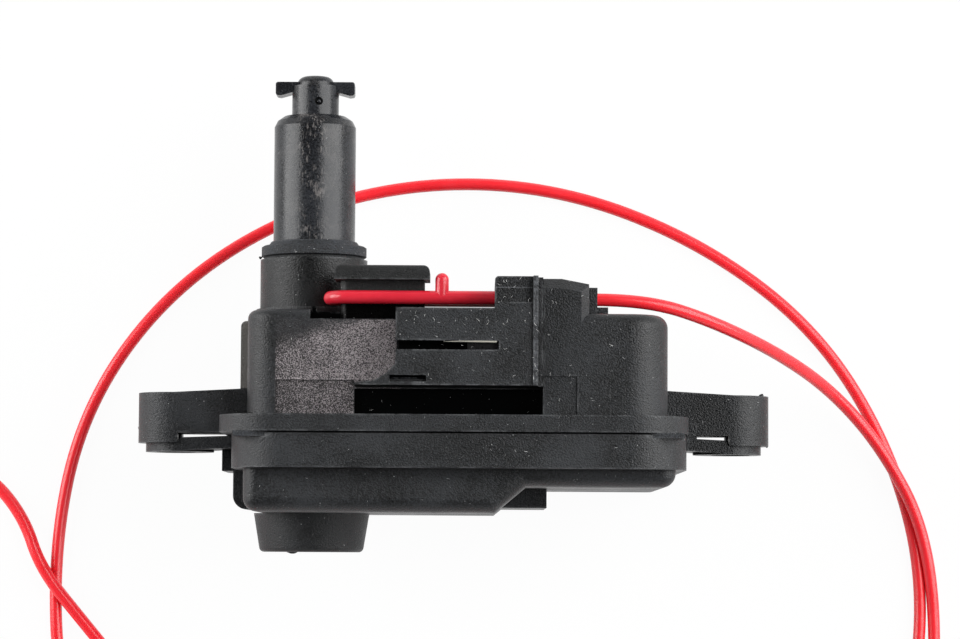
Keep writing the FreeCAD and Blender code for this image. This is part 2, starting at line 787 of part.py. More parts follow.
def plunger_spring():
    """A coil of round wire from the cap's floor to the seat in the sleeve."""
    floor = (cap_bottom + cap_floor).value
    top = sleeve_spring_seat.value
    wire = spring_wire.value
    radius = spring_round.value - wire / 2
    low = floor + wire / 2 + 0.05
    length = top - floor - wire - 0.1
    helix = Part.makeHelix(length / spring_turns.value, length, radius)
    corners = []
    for index in range(spring_sides + 1):
        angle = 2 * math.pi * (index + 0.5) / spring_sides
        corners.append(Vector(radius + wire / 2 * math.cos(angle), 0, wire / 2 * math.sin(angle)))
    coil = Part.Wire(helix).makePipeShell([Part.makePolygon(corners)], True, True)
    item = doc.addObject("Part::Feature", "PlungerSpring")
    item.Shape = coil
    item.Placement = FreeCAD.Placement(
        Vector(pin_x.value, low, pin_height.value), FreeCAD.Rotation(Vector(1, 0, 0), -90))
    keep("plunger_spring", item)


# Electrical plug shroud with the cord's guide block

def connector_housing():
    body = new_body("ConnectorHousing")
    bend = plug_bottom + tongue_rise
    pad(body, "XY_Plane", left_front, plug_front, [
        (tongue_left, plug_bottom), (plug_side, plug_bottom), (plug_side, plug_top),
        (plug_left, plug_top), (plug_left, bend), (plug_left - 1.6, plug_bottom + tongue_rise / 2),
        (plug_left - 3.4, plug_bottom + tongue_rise * 0.2), (tongue_left, plug_bottom + 0.3)])
    pad(body, "YZ_Plane", guide_left, plug_side, [
        (left_top, guide_back), (guide_top, guide_back), (guide_top, guide_front),
        (plug_top - 1, guide_front), (plug_top - 1, left_front), (ledge_top, left_front),
        (ledge_top, ledge_back), (left_top, ledge_back)])
    finish_edges(body, guide_corner,
                 lambda e: along(e, 2) and near(e, x=guide_left, y=guide_top))
    pad(body, "XY_Plane", guide_front, plug_front,
        rectangle((guide_left, plug_top - 1), (plug_right, plug_top + plate_rise)))
    pad(body, "XY_Plane", guide_front, plug_front + ridge_rise,
        rectangle((plug_right - ridge_width, plug_bottom), (plug_right, guide_top)))
    pocket(body, "XY_Plane", right_front, plug_front + ridge_rise,
           rectangle((plug_right, plug_bottom), (plug_side, guide_top)))
    pocket(body, "YZ_Plane", guide_left, plug_side,
           rectangle((left_top, loop_back - bar_round - slide_gap),
                     (loop_level + bar_round + slide_gap, loop_front + bar_round + slide_gap)))
    pocket(body, "YZ_Plane", tongue_left, plug_end,
           rectangle((plug_bottom + plug_wall, left_front + plug_wall),
                     (plug_top - plug_wall, plug_front - plug_wall)))
    pocket(body, "XY_Plane", plug_front - plug_wall, plug_front,
           rectangle((plug_left, slot_low), (plug_end, slot_high)))
    pocket(body, "XY_Plane", plug_front - plug_wall, plug_front,
           rectangle((notch_left, plug_bottom + 0.5), (notch_right, plug_bottom + plug_wall + 0.3)))
    for corners in contact_squares(contact_half):
        pocket(body, "YZ_Plane", plug_end, plug_end + contact_root, corners)
    keep("connector_housing", body)


def contact_squares(side):
    """The outlines of the four contacts, across the plug's axis."""
    return [rectangle((level - side, height - side), (level + side, height + side))
            for level in (plug_bottom + 3.4, plug_top - 3.4)
            for height in (left_front + 2.9, plug_front - 2.9)]


def contact_pins():
    """Four square contacts, from the plug's space into the housing."""
    blades = []
    for low, _, high, _ in contact_squares(contact_half):
        blades.append(box("Contact", (plug_end + contact_root - contact_reach, low[0], low[1]),
                          (plug_end + contact_root, high[0], high[1])))
    keep("contact_pins", fuse("ContactPins", blades))


def contact_carrier():
    """The block at the end of the plug's space that the contacts pass through."""
    body = new_body("ContactCarrier")
    edge = plug_wall + 0.1
    pad(body, "YZ_Plane", plug_end - carrier_length, plug_end,
        rectangle((plug_bottom + edge, left_front + edge), (plug_top - edge, plug_front - edge)))
    for corners in contact_squares(contact_half):
        pocket(body, "YZ_Plane", plug_end - carrier_length, plug_end, corners)
    keep("contact_carrier", body)


# Emergency release: lug, loop and cord move together

def release_slider():
    body = new_body("ReleaseSlider")
    plate_top = ledge_top - wall - slide_gap
    plate_bottom = plate_top - 1.4
    pad(body, "XZ_Plane", plate_top, lug_head_bottom,
        rectangle((lug_left, lug_back), (lug_right, lug_front)))
    finish_edges(body, 1.3, lambda e: along(e, 1) and near(e, x=lug_left))
    pad(body, "XZ_Plane", lug_head_bottom, lug_head_top,
        rectangle((lug_left - lug_head_side, loop_back - 0.6),
                  (lug_right + lug_head_side, loop_front + bar_round)))
    finish_edges(body, lug_head_round, lambda e: near(e, y=lug_head_top))
    pad(body, "XZ_Plane", plate_bottom, plate_top,
        rectangle((lug_left - 1.5, ledge_back + 0.5), (lug_right + 1.5, lug_front)))
    leg_left = bolt_tip + 1.2
    leg_right = leg_left + 3.0
    leg_back = bolt_front + slide_gap + 0.1
    pad(body, "XZ_Plane", plate_bottom, plate_top,
        rectangle((leg_left, leg_back), (leg_right, ledge_back + 0.5)))
    pad(body, "XZ_Plane", bolt_top - 1.6, plate_top,
        rectangle((leg_left, leg_back), (leg_right, leg_back + 3.0)))
    keep("release_slider", body)


def bend(name, x, turn):
    """Half a ring of the loop's bar, about +Y."""
    item = doc.addObject("Part::Torus", name)
    spin = TURNS["y"].multiply(FreeCAD.Rotation(Vector(0, 0, 1), turn))
    item.Placement = FreeCAD.Placement(Vector(), spin)
    item.Angle3 = 180.0
    drive(item, "Radius1", (loop_front - loop_back) / 2)
    drive(item, "Radius2", bar_round)
    for path, place in zip("xyz", (x, loop_level, loop_height)):
        drive(item, ".Placement.Base." + path, place)
    return item


def release_loop():
    """A closed loop of round bar about the lug, with its nub and a straight tail."""
    length = loop_right - loop_left
    half = (nub_right - nub_left) / 2
    nub_x = (nub_right + nub_left) / 2
    tail_start = loop_right + (loop_front - loop_back) / 2
    crown = doc.addObject("Part::Sphere", "NubCrown")
    drive(crown, "Radius", half)
    for path, place in zip("xyz", (nub_x, nub_top - half, loop_front)):
        drive(crown, ".Placement.Base." + path, place)
    keep("release_loop", fuse("ReleaseLoop", [
        rod("FrontBar", "x", (loop_left, loop_level, loop_front), bar_round, length),
        rod("RearBar", "x", (loop_left, loop_level, loop_back), bar_round, length),
        bend("LeftBend", loop_left, 90), bend("RightBend", loop_right, -90),
        rod("Tail", "x", (tail_start, loop_level, loop_height), bar_round, nose_tip - tail_start),
        rod("NubPost", "y", (nub_x, loop_level, loop_front), half, nub_top - half - loop_level),
        crown]))


# The cord's route on the surface, in order from the loop's tail to the pull tab. The cord
# leaves the guide at its height, comes down beyond the ear, and lies in two loose turns.
cord_points = [
    (22.2, 1.4, 31.775), (30.0, 1.4, 31.775), (40.5, -1.6, 28.5), (52.5, -6.2, 16.5),
    (62.0, -11.8, 6.0), (70.0, -20.6, 3.4), (77.0, -33.5, 2.6), (79.2, -52.0, 1.0),
    (77.0, -76.0, 1.0), (58.0, -95.5, 1.0), (29.0, -104.5, 1.0), (0.0, -106.0, 1.0),
    (-28.0, -101.0, 1.0), (-52.0, -86.5, 1.0), (-64.2, -63.0, 1.0), (-65.6, -37.5, 1.0),
    (-61.0, -15.0, 1.0), (-48.0, 4.0, 1.0), (-29.0, 17.0, 1.0), (-6.0, 23.2, 1.0),
    (18.0, 22.0, 1.0), (41.0, 13.0, 1.0), (60.0, -1.5, 1.0), (72.0, -21.5, 1.0),
    (77.3, -43.0, 1.0), (74.5, -66.0, 1.0), (58.0, -83.0, 1.0), (30.0, -93.0, 1.0),
    (1.0, -94.0, 1.0), (-27.0, -86.0, 1.0), (-48.0, -64.5, 1.0), (-60.5, -49.5, 2.0),
    (-67.4, -41.0, 2.6), (-70.4, -32.5, 1.6), (-76.5, -25.5, 1.0), (-82.0, -23.0, 1.0)]


def round_route(points):
    """Straight runs joined by tangent arcs, each as large as its two runs allow."""
    points = [Vector(*point) for point in points]
    edges = []
    start = points[0]
    for before, corner, after in zip(points, points[1:], points[2:]):
        into = (corner - before).normalize()
        out = (after - corner).normalize()
        turn = into.getAngle(out)
        reach = 0.45 * min(before.distanceToPoint(corner), corner.distanceToPoint(after))
        radius = reach / math.tan(turn / 2)
        first = corner - into * reach
        last = corner + out * reach
        bisector = (out - into).normalize()
        centre = corner + bisector * (radius / math.cos(turn / 2))
        middle = centre - bisector * radius
        edges.append(Part.LineSegment(start, first).toShape())
        edges.append(Part.Arc(first, middle, last).toShape())
        start = last
    edges.append(Part.LineSegment(start, points[-1]).toShape())
    return Part.Wire(edges)


def release_cord():
    points = [list(point) for point in cord_points]
    points[0] = [nose_tip.value, loop_level.value, loop_height.value]
    points[1][1:] = points[0][1:]
    wire = round_route(points)
    radius = cord_round.value
    start = Vector(*points[0])
    heading = (Vector(*points[1]) - start).normalize()
    profile = Part.Wire([Part.makeCircle(radius, start, heading)])
    tube = wire.makePipe(Part.Face(profile))
    item = doc.addObject("Part::Feature", "ReleaseCord")
    item.Shape = tube
    keep("release_cord", item)
    pull_tab(points)


def pull_tab(points):
    """A flat moulded tab with a finger hole, on the cord's far end."""
    end = Vector(*points[-1])
    heading = (end - Vector(*points[-2])).normalize()
    sleeve = Part.makeCylinder(1.0, 4.0, Vector(0, 0, 0), Vector(1, 0, 0))
    slab = Part.makeBox(11.0, 9.0, 2.0, Vector(3.0, -4.5, -1.0))
    slab = slab.makeFillet(3.0, [e for e in slab.Edges if along(e, 2)])
    hole = Part.makeCylinder(2.2, 4.0, Vector(9.5, 0, -2.0), Vector(0, 0, 1))
    item = doc.addObject("Part::Feature", "PullTab")
    item.Shape = sleeve.fuse(slab).cut(hole)
    angle = math.degrees(math.atan2(heading.y, heading.x))
    item.Placement = FreeCAD.Placement(end, FreeCAD.Rotation(Vector(0, 0, 1), angle))
    keep("pull_tab", item)


# Lock drive: motor, worm, wheel, rack bolt

def tooth_corners(tip, root, half_base, half_tip):
    """A straight-sided tooth that points along +Y."""
    return [(-half_base, root - 0.3), (half_base, root - 0.3), (half_tip, tip), (-half_tip, tip)]


def toothed(body, teeth, root, tip, half_base, half_tip, low, high, first_angle):
    """Teeth round a disc that the body already has."""
    sketch = extrude(body, "XY_Plane", False, low, high)
    spin = math.radians(first_angle)
    corners = tooth_corners(tip, root, half_base, half_tip)
    turned = [(a * math.cos(spin) - b * math.sin(spin), a * math.sin(spin) + b * math.cos(spin))
              for a, b in corners]
    outline(sketch, turned)
    tooth = body.Tip
    pattern = body.newObject("PartDesign::PolarPattern", body.Name + "_teeth")
    pattern.Originals = [tooth]
    pattern.Axis = (sketch, ["N_Axis"])
    pattern.Angle = 360.0
    pattern.Occurrences = teeth
    body.Tip = pattern


def worm_wheel():
    body = new_body("WormWheel", wheel_x, wheel_y, 0)
    pitch = gear_module * wheel_teeth / 2
    root = pitch - 1.25 * gear_module
    small_root = gear_module * (pinion_teeth / 2 - 1.25)
    hub_low = wheel_back - 0.3
    pinion_front = pinion_back + pinion_width
    pad_round(body, "XY_Plane", wheel_back, wheel_back + wheel_width, (0, 0), root)
    pad_round(body, "XY_Plane", hub_low, pinion_front, (0, 0), small_root)
    toothed(body, wheel_teeth, root, pitch + gear_module, 0.85 * gear_module,
            0.35 * gear_module, wheel_back, wheel_back + wheel_width, 180 / wheel_teeth)
    toothed(body, pinion_teeth, small_root, small_root + 2.25 * gear_module, 0.8 * gear_module,
            0.3 * gear_module, pinion_back, pinion_front, 0)
    pocket_round(body, "XY_Plane", hub_low, pinion_front, (0, 0), axle_round + run_fit)
    keep("worm_wheel", body)


def gear_plate():
    """The plate behind the wheel, with the boss that its axle stands in."""
    body = new_body("GearPlate")
    pad(body, "XY_Plane", wall, wall * 1.8,
        rectangle((wheel_x - 6.5, wheel_y - 5.5), (wheel_x + 7.5, wheel_y + 5.5)))
    pad_round(body, "XY_Plane", wall, wheel_back - 0.6, (wheel_x, wheel_y), axle_round + 1.6)
    pocket_round(body, "XY_Plane", wall, wheel_back - 0.6, (wheel_x, wheel_y), axle_round)
    keep("gear_plate", body)


def wheel_axle():
    keep("wheel_axle", rod("WheelAxle", "z", (wheel_x, wheel_y, wall), axle_round,
                           pinion_back + pinion_width + 0.8 - wall))


def lock_bolt():
    """The bolt with its rack; the rack's gap faces the pinion's upright tooth at rest."""
    body = new_body("LockBolt")
    pitch = math.pi * gear_module
    root = rack_line + gear_module * 1.25
    tip = rack_line - gear_module * 0.9
    pad(body, "XY_Plane", bolt_back, bolt_front,
        rectangle((bolt_tip, root), (bolt_end, bolt_top)))
    pad(body, "XY_Plane", bolt_back, bolt_front,
        rectangle((bolt_tip, tip + 0.9), (bolt_tip + 4.0, root)))
    finish_edges(body, 0.8, lambda e: along(e, 2) and near(e, x=bolt_tip, y=bolt_top))
    half_base = 0.85 * gear_module
    half_tip = 0.3 * gear_module
    for index in (-1, 0, 1, 2):
        middle = wheel_x + pitch * (index + 0.5)
        pad(body, "XY_Plane", bolt_back, bolt_front, [
            (middle - half_base, root + 0.2), (middle - half_tip, tip),
            (middle + half_tip, tip), (middle + half_base, root + 0.2)])
    keep("lock_bolt", body)


def bolt_guide():
    """A three-sided guide on the back wall that the bolt slides in."""
    body = new_body("BoltGuide")
    low = rack_line - 0.4
    left = bolt_tip + 0.4
    right = left + 2.6
    pad(body, "XY_Plane", wall, bolt_front, rectangle((left, low - 1.4), (right, bolt_top + 1.5)))
    pocket(body, "XY_Plane", bolt_back - slide_gap, bolt_front,
           rectangle((left, low), (right, bolt_top + slide_gap)))
    keep("bolt_guide", body)


def shaft_bracket():
    body = new_body("ShaftBracket")
    pad(body, "XY_Plane", wall, shaft_height + 3.4,
        rectangle((worm_left - 3.2, shaft_y - 3.4), (worm_left - 1.2, shaft_y + 3.4)))
    pocket_round(body, "YZ_Plane", worm_left - 3.2, worm_left - 1.2, (shaft_y, shaft_height),
                 shaft_round + 1.2)
    keep("shaft_bracket", body)


def shaft_bush():
    outer = rod("BushOuter", "x", (worm_left - 3.2, shaft_y, shaft_height), shaft_round + 1.2, 2.0)
    bore = rod("BushBore", "x", (worm_left - 3.2, shaft_y, shaft_height), shaft_round + 0.05, 2.0)
    keep("shaft_bush", cut("ShaftBush", outer, bore))


def motor():
    """A small flat-sided motor: can, magnets, armature, shaft and end cap."""
    end = motor_left + motor_length
    flat = motor_flat
    start = (motor_left, shaft_y, shaft_height)
    round_part = rod("CanRound", "x", start, motor_round, motor_length)
    flats = box("CanFlats", (motor_left, shaft_y - flat, shaft_height - motor_round),
                (end, shaft_y + flat, shaft_height + motor_round))
    hollow_start = (motor_left + motor_skin, shaft_y, shaft_height)
    hollow = common("CanHollow",
                    rod("HollowRound", "x", hollow_start, motor_round - motor_skin, motor_length),
                    box("HollowFlats",
                        (motor_left + motor_skin, shaft_y - flat + motor_skin,
                         shaft_height - motor_round),
                        (end, shaft_y + flat - motor_skin, shaft_height + motor_round)))
    collar = rod("CanCollar", "x", (motor_left - 1.2, shaft_y, shaft_height), 3.0, 1.2)
    shell = cut("CanShell", fuse("CanSolid", [common("CanOuter", round_part, flats), collar]),
                hollow)
    bore = rod("CanBore", "x", (motor_left - 1.2, shaft_y, shaft_height), shaft_round + 0.05, 4.0)
    keep("motor_can", cut("MotorCan", shell, bore))

    cap_round = rod("CapRound", "x", (end, shaft_y, shaft_height), motor_round, motor_cap)
    cap_flats = box("CapFlats", (end, shaft_y - flat, shaft_height - motor_round),
                    (end + motor_cap, shaft_y + flat, shaft_height + motor_round))
    cap_bore = rod("CapBore", "x", (end, shaft_y, shaft_height), shaft_round + 0.05, 1.6)
    keep("motor_end_cap",
         cut("MotorEndCap", common("CapSolid", cap_round, cap_flats), cap_bore))

    magnet_place = (motor_left + magnet_start, shaft_y, shaft_height)
    magnet = cut("MagnetRing",
                 rod("MagnetOuter", "x", magnet_place, motor_round - motor_skin - 0.05,
                     magnet_length),
                 rod("MagnetInner", "x", magnet_place, motor_round - motor_skin - 1.9,
                     magnet_length))
    inner_flat = flat - motor_skin - 0.6
    band = box("MagnetBand", (motor_left + magnet_start, shaft_y - inner_flat, shaft_height - motor_round),
               (end, shaft_y + inner_flat, shaft_height + motor_round))
    keep("motor_magnets", common("MotorMagnets", magnet, band))

    core_left = motor_left + core_start
    core = rod("ArmatureCore", "x", (core_left, shaft_y, shaft_height), core_round, core_length)
    core_bore = rod("ArmatureBore", "x", (core_left, shaft_y, shaft_height), shaft_round,
                    core_length)
    slots = []
    for index in range(5):
        slot = box("ArmatureSlot", (core_left, shaft_y, shaft_height),
                   (core_left + core_length, shaft_y + 1.0, shaft_height + 3.0))
        angle = 72.0 * index
        turn = FreeCAD.Rotation(Vector(1, 0, 0), angle)
        reach = turn.multVec(Vector(0, -0.5, 4.6))
        slot.Placement = FreeCAD.Placement(Vector(), turn)
        drive(slot, ".Placement.Base.x", core_left)
        drive(slot, ".Placement.Base.y", shaft_y + reach.y)
        drive(slot, ".Placement.Base.z", shaft_height + reach.z)
        slots.append(slot)
    keep("armature_core",
         cut("ArmatureCorePiece", core, fuse("ArmatureCuts", [core_bore] + slots)))

    shaft_left = worm_left - 3.0
    keep("motor_shaft", rod("MotorShaft", "x", (shaft_left, shaft_y, shaft_height), shaft_round,
                            end + 1.4 - shaft_left))


def worm():
    """A single-start worm; its thread lies in the wheel's gap under the shaft at rest."""
    lead = math.pi * gear_module.value
    root = worm_pitch_round.value - 1.3 * gear_module.value
    tip = worm_pitch_round.value + gear_module.value
    left = worm_left.value
    length = worm_right.value - left
    turns_length = length - lead
    base_half = 0.62 * gear_module.value
    tip_half = 0.22 * gear_module.value
    start = root - 0.3
    helix = Part.makeHelix(lead, turns_length, start)
    profile = Part.makePolygon([
        Vector(start, 0, -base_half), Vector(tip, 0, -tip_half), Vector(tip, 0, tip_half),
        Vector(start, 0, base_half), Vector(start, 0, -base_half)])
    thread = Part.Wire(helix).makePipeShell([profile], True, True)
    # the helix climbs along +Z; a quarter turn makes it climb along +X from its start on -Z,
    # and by the wheel's middle it has turned on by the phase; there it has to face -Y
    thread_start = left + lead / 2
    phase = (wheel_x.value - thread_start) / lead * 360.0
    spin = FreeCAD.Rotation(Vector(1, 0, 0), 270.0 - phase)
    thread.Placement = FreeCAD.Placement(
        Vector(thread_start, shaft_y.value, shaft_height.value),
        spin.multiply(FreeCAD.Rotation(Vector(0, 1, 0), 90)))
    core = Part.makeCylinder(root, length, Vector(left, shaft_y.value, shaft_height.value),
                             Vector(1, 0, 0))
    bore = Part.makeCylinder(shaft_round.value, length,
                             Vector(left, shaft_y.value, shaft_height.value), Vector(1, 0, 0))
    item = doc.addObject("Part::Feature", "DriveWorm")
    item.Shape = core.fuse(thread).cut(bore)
    keep("drive_worm", item)


def motor_cradle():
    """Two saddles on the back wall that the motor lies in."""
    saddles = []
    for left in (motor_left + saddle_width, motor_left + motor_length - 2 * saddle_width):
        slab = box("Saddle", (left, shaft_y - motor_flat - 0.6, wall),
                   (left + saddle_width, shaft_y + motor_flat - 0.4, wall + saddle_rise))
        saddles.append(slab)
    bed = rod("SaddleBed", "x", (motor_left, shaft_y, shaft_height), motor_round, motor_length)
    keep("motor_cradle", cut("MotorCradle", fuse("Saddles", saddles), bed))


for make in (upper_housing, lower_cover, housing_seal, spring_cap, guide_bush, tower_seal,
             plunger_sleeve, head_pin, guide_rod, plunger_spring, connector_housing,
             contact_carrier, contact_pins,
             release_slider, release_loop, release_cord, worm_wheel, gear_plate, wheel_axle,
             lock_bolt, bolt_guide, shaft_bracket, shaft_bush, motor, worm, motor_cradle):
    make()
doc.recompute()

for item in doc.Objects:
    if "Invalid" in item.State or "Error" in item.State:
        raise RuntimeError("%s failed: %s" % (item.Name, item.State))
for label, item in parts.items():
    shape = item.Shape
    if shape.isNull() or not shape.isValid():
        raise RuntimeError("%s has no valid shape" % label)
for label, item in parts.items():
    item.Shape.exportStep("parts/%s.step" % label)
print(len(parts), "pieces written")
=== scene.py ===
import math
import bpy
import numpy as np
from mathutils import Matrix, Vector


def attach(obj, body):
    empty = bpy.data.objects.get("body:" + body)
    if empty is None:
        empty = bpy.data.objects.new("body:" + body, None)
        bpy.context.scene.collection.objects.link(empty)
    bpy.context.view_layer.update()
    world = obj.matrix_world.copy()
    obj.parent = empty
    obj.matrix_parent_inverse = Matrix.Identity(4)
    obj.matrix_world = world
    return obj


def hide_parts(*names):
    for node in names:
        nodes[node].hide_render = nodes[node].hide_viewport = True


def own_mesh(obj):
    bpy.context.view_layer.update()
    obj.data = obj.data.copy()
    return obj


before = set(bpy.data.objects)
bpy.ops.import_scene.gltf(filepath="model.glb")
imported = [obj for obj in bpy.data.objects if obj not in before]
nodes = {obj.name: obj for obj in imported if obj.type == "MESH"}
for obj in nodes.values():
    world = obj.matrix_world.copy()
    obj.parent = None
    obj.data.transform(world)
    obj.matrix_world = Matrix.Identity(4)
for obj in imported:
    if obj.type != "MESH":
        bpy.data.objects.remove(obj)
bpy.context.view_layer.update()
print("frame loaded:", len(nodes), "nodes")


def linearColour(hexColour):
    # sRGB hex to the linear values that shaders take
    values = [int(hexColour[i:i + 2], 16) / 255 for i in (1, 3, 5)]
    return [v / 12.92 if v <= 0.04045 else ((v + 0.055) / 1.055) ** 2.4 for v in values] + [1.0]


def addNode(tree, kind, inputs=None, **settings):
    # one shader node, its settings, and its inputs as values or as sockets to link from
    node = tree.nodes.new(kind)
    for name, value in settings.items():
        setattr(node, name, value)
    for name, value in (inputs or {}).items():
        if isinstance(value, bpy.types.NodeSocket):
            tree.links.new(value, node.inputs[name])
        else:
            node.inputs[name].default_value = value
    return node


def newMaterial(name):
    material = bpy.data.materials.new(name)
    material.use_nodes = True
    material.node_tree.nodes.clear()
    return material, material.node_tree


def dress(names, material):
    # the same finish on several CAD nodes
    for name in names:
        item = nodes[name]
        if not item.material_slots:
            item.data.materials.append(material)
        for slot in item.material_slots:
            slot.material = material


def mathNode(tree, operation, *values):
    return addNode(tree, "ShaderNodeMath", dict(enumerate(values)),
                   operation=operation).outputs[0]


def blendColour(tree, factor, first, second):
    return addNode(tree, "ShaderNodeMix", {
        "Factor": factor, "A": first, "B": second}, data_type="RGBA").outputs["Result"]


def ramp(tree, value, low, high, start=0.0, stop=1.0, shape="SMOOTHSTEP"):
    # change from start to stop as the value goes from low to high
    return addNode(tree, "ShaderNodeMapRange", {
        "Value": value, "From Min": low, "From Max": high, "To Min": start, "To Max": stop},
        interpolation_type=shape).outputs["Result"]


def band(tree, value, low, high, soft):
    # 1 between two levels of a coordinate, falling off over the soft width
    return mathNode(tree, "MULTIPLY", ramp(tree, value, low - soft, low + soft),
                    ramp(tree, value, high - soft, high + soft, 1.0, 0.0))


def inBox(tree, axes, low, high, soft):
    # 1 inside a box given in mm
    mask = None
    for axis, first, last in zip("XYZ", low, high):
        side = band(tree, axes[axis], first / 1000, last / 1000, soft / 1000)
        mask = mathNode(tree, "MULTIPLY", mask, side) if mask else side
    return mask


def noiseValue(tree, place, scale, detail=2.0, rough=0.5):
    return addNode(tree, "ShaderNodeTexNoise", {
        "Vector": place, "Scale": scale, "Detail": detail, "Roughness": rough}).outputs["Fac"]


def specks(tree, place, cell, share, size, turn=0.0, stretch=1.0):
    # dust as the middles of some cells of a cell pattern; squeezed and turned they are hairs,
    # bent a little by a slow drift
    if stretch != 1.0:
        bend = addNode(tree, "ShaderNodeTexNoise", {"Vector": place, "Scale": 0.8 / cell})
        place = addNode(tree, "ShaderNodeVectorMath", {
            0: bend.outputs["Color"], 1: (cell * 0.5,) * 3, 2: place},
            operation="MULTIPLY_ADD").outputs["Vector"]
        place = addNode(tree, "ShaderNodeMapping", {
            "Vector": place, "Rotation": (0.0, 0.0, turn),
            "Scale": (1 / stretch, 1.0, stretch ** -0.5)}, vector_type="TEXTURE").outputs["Vector"]
    cells = addNode(tree, "ShaderNodeTexVoronoi", {"Vector": place, "Scale": 1 / cell})
    pick = addNode(tree, "ShaderNodeSeparateColor", {"Color": cells.outputs["Color"]}).outputs
    reach = ramp(tree, pick["Red"], 1 - share, 1.0, 0.0, size, "LINEAR")
    inside = mathNode(tree, "LESS_THAN", cells.outputs["Distance"], reach)
    return mathNode(tree, "MULTIPLY", inside, pick["Green"])


camera = {  # a copy-stand shot from above, tilted a little from below the middle
    "target": (4.1, -0.9, 19.0),  # mm
    "distance": 535.0,
    "tilt": 3.94,                 # degrees from straight down
    "roll": 0.35,
    "lens": 126.0,
}


def makeCamera(look):
    tilt, roll = math.radians(look["tilt"]), math.radians(look["roll"])
    forward = Vector((0, math.sin(tilt), -math.cos(tilt)))
    up = Vector((0, math.cos(tilt), math.sin(tilt)))
    right = math.cos(roll) * Vector((1, 0, 0)) + math.sin(roll) * up
    up = right.cross(forward)
    data = bpy.data.cameras.new("camera")
    data.lens = look["lens"]
    data.sensor_width = 36.0
    data.clip_start, data.clip_end = 0.01, 10.0
    item = bpy.data.objects.new("camera", data)
    bpy.context.scene.collection.objects.link(item)
    place = (Vector(look["target"]) - look["distance"] * forward) / 1000
    turned = Matrix((right, up, -forward)).transposed().to_4x4()
    item.matrix_world = Matrix.Translation(place) @ turned
    bpy.context.scene.camera = item


makeCamera(camera)
print("camera set")


cord = {
    "radius": 0.001,
    "route": [  # mm, from the loop's tail to the pull tab
        (22.2, 1.4, 31.775), (30.0, 1.4, 31.775), (40.5, -1.6, 28.5), (52.5, -6.2, 16.5),
        (62.0, -11.8, 6.0), (70.0, -20.6, 3.4), (77.0, -33.5, 2.6), (79.2, -52.0, 1.0),
        (77.0, -76.0, 1.0), (58.0, -95.5, 1.0), (29.0, -104.5, 1.0), (0.0, -106.0, 1.0),
        (-28.0, -101.0, 1.0), (-52.0, -86.5, 1.0), (-64.2, -63.0, 1.0), (-65.6, -37.5, 1.0),
        (-61.0, -15.0, 1.0), (-48.0, 4.0, 1.0), (-29.0, 17.0, 1.0), (-6.0, 23.2, 1.0),
        (18.0, 22.0, 1.0), (41.0, 13.0, 1.0), (60.0, -1.5, 1.0), (72.0, -21.5, 1.0),
        (77.3, -43.0, 1.0), (74.5, -66.0, 1.0), (58.0, -83.0, 1.0), (30.0, -93.0, 1.0),
        (1.0, -94.0, 1.0), (-27.0, -86.0, 1.0), (-48.0, -64.5, 1.0), (-60.5, -49.5, 2.0),
        (-67.4, -41.0, 2.6), (-70.4, -32.5, 1.6), (-76.5, -25.5, 1.0), (-82.0, -23.0, 1.0)],
}

redNylonLook = {"deep": "#ec1c27", "bright": "#fa3640", "sheen": 0.24, "bump": 0.05,
                "cloud": 220.0, "fine": 2600.0}   # waves per metre: 4.5 mm and 0.4 mm wide
redLoopLook = dict(redNylonLook, deep="#c0152a", bright="#e23544", sheen=0.22,
                   farPale="#e8a4a2", farPaleFrom=0.0297, clearFrom=0.0303)   # heights in metres


def redNylon(name, look):
    # extruded nylon: clear red, faint clouding, a soft gloss; a loop's far side is painted paler
    material, tree = newMaterial(name)
    place = addNode(tree, "ShaderNodeTexCoord").outputs["Object"]
    fine = noiseValue(tree, place, look["fine"])
    colour = blendColour(tree, noiseValue(tree, place, look["cloud"], 3.0),
                         linearColour(look["deep"]), linearColour(look["bright"]))
    if "farPale" in look:
        height = addNode(tree, "ShaderNodeSeparateXYZ", {"Vector": place}).outputs["Z"]
        far = ramp(tree, height, look["farPaleFrom"], look["clearFrom"], 0.7, 0.0, "LINEAR")
        colour = blendColour(tree, far, colour, linearColour(look["farPale"]))
    rough = ramp(tree, fine, 0.0, 1.0, look["sheen"] - 0.04, look["sheen"] + 0.06, "LINEAR")
    bump = addNode(tree, "ShaderNodeBump", {
        "Height": fine, "Strength": look["bump"], "Distance": 0.00005}).outputs["Normal"]
    shader = addNode(tree, "ShaderNodeBsdfPrincipled", {
        "Base Color": colour, "Roughness": rough, "Normal": bump, "Subsurface Weight": 0.15,
        "Subsurface Radius": (0.002, 0.0004, 0.0004), "Subsurface Scale": 0.5})
    addNode(tree, "ShaderNodeOutputMaterial", {"Surface": shader.outputs["BSDF"]})
    return material


def makeCord(look, material):
    curve = bpy.data.curves.new("pullCord", "CURVE")
    curve.dimensions = "3D"
    curve.bevel_depth = look["radius"]
    curve.bevel_resolution = 5
    curve.resolution_u = 12
    curve.use_fill_caps = True
    spline = curve.splines.new("NURBS")
    spline.points.add(len(look["route"]) - 1)
    for point, place in zip(spline.points, look["route"]):
        point.co = [value / 1000 for value in place] + [1.0]
    spline.order_u = 3
    spline.use_endpoint_u = True
    curve.materials.append(material)
    item = bpy.data.objects.new("pullCord", curve)
    bpy.context.scene.collection.objects.link(item)
    return item


def splineLength(item):
    # the curve's own line, measured with its bevel left out
    bare = item.data.copy()
    bare.bevel_depth = 0
    probe = bpy.data.objects.new("probe", bare)
    mesh = bpy.data.meshes.new_from_object(probe)
    line = np.empty(len(mesh.vertices) * 3)
    mesh.vertices.foreach_get("co", line)
    bpy.data.objects.remove(probe)
    bpy.data.meshes.remove(mesh)
    return float(np.linalg.norm(np.diff(line.reshape(-1, 3), axis=0), axis=1).sum())


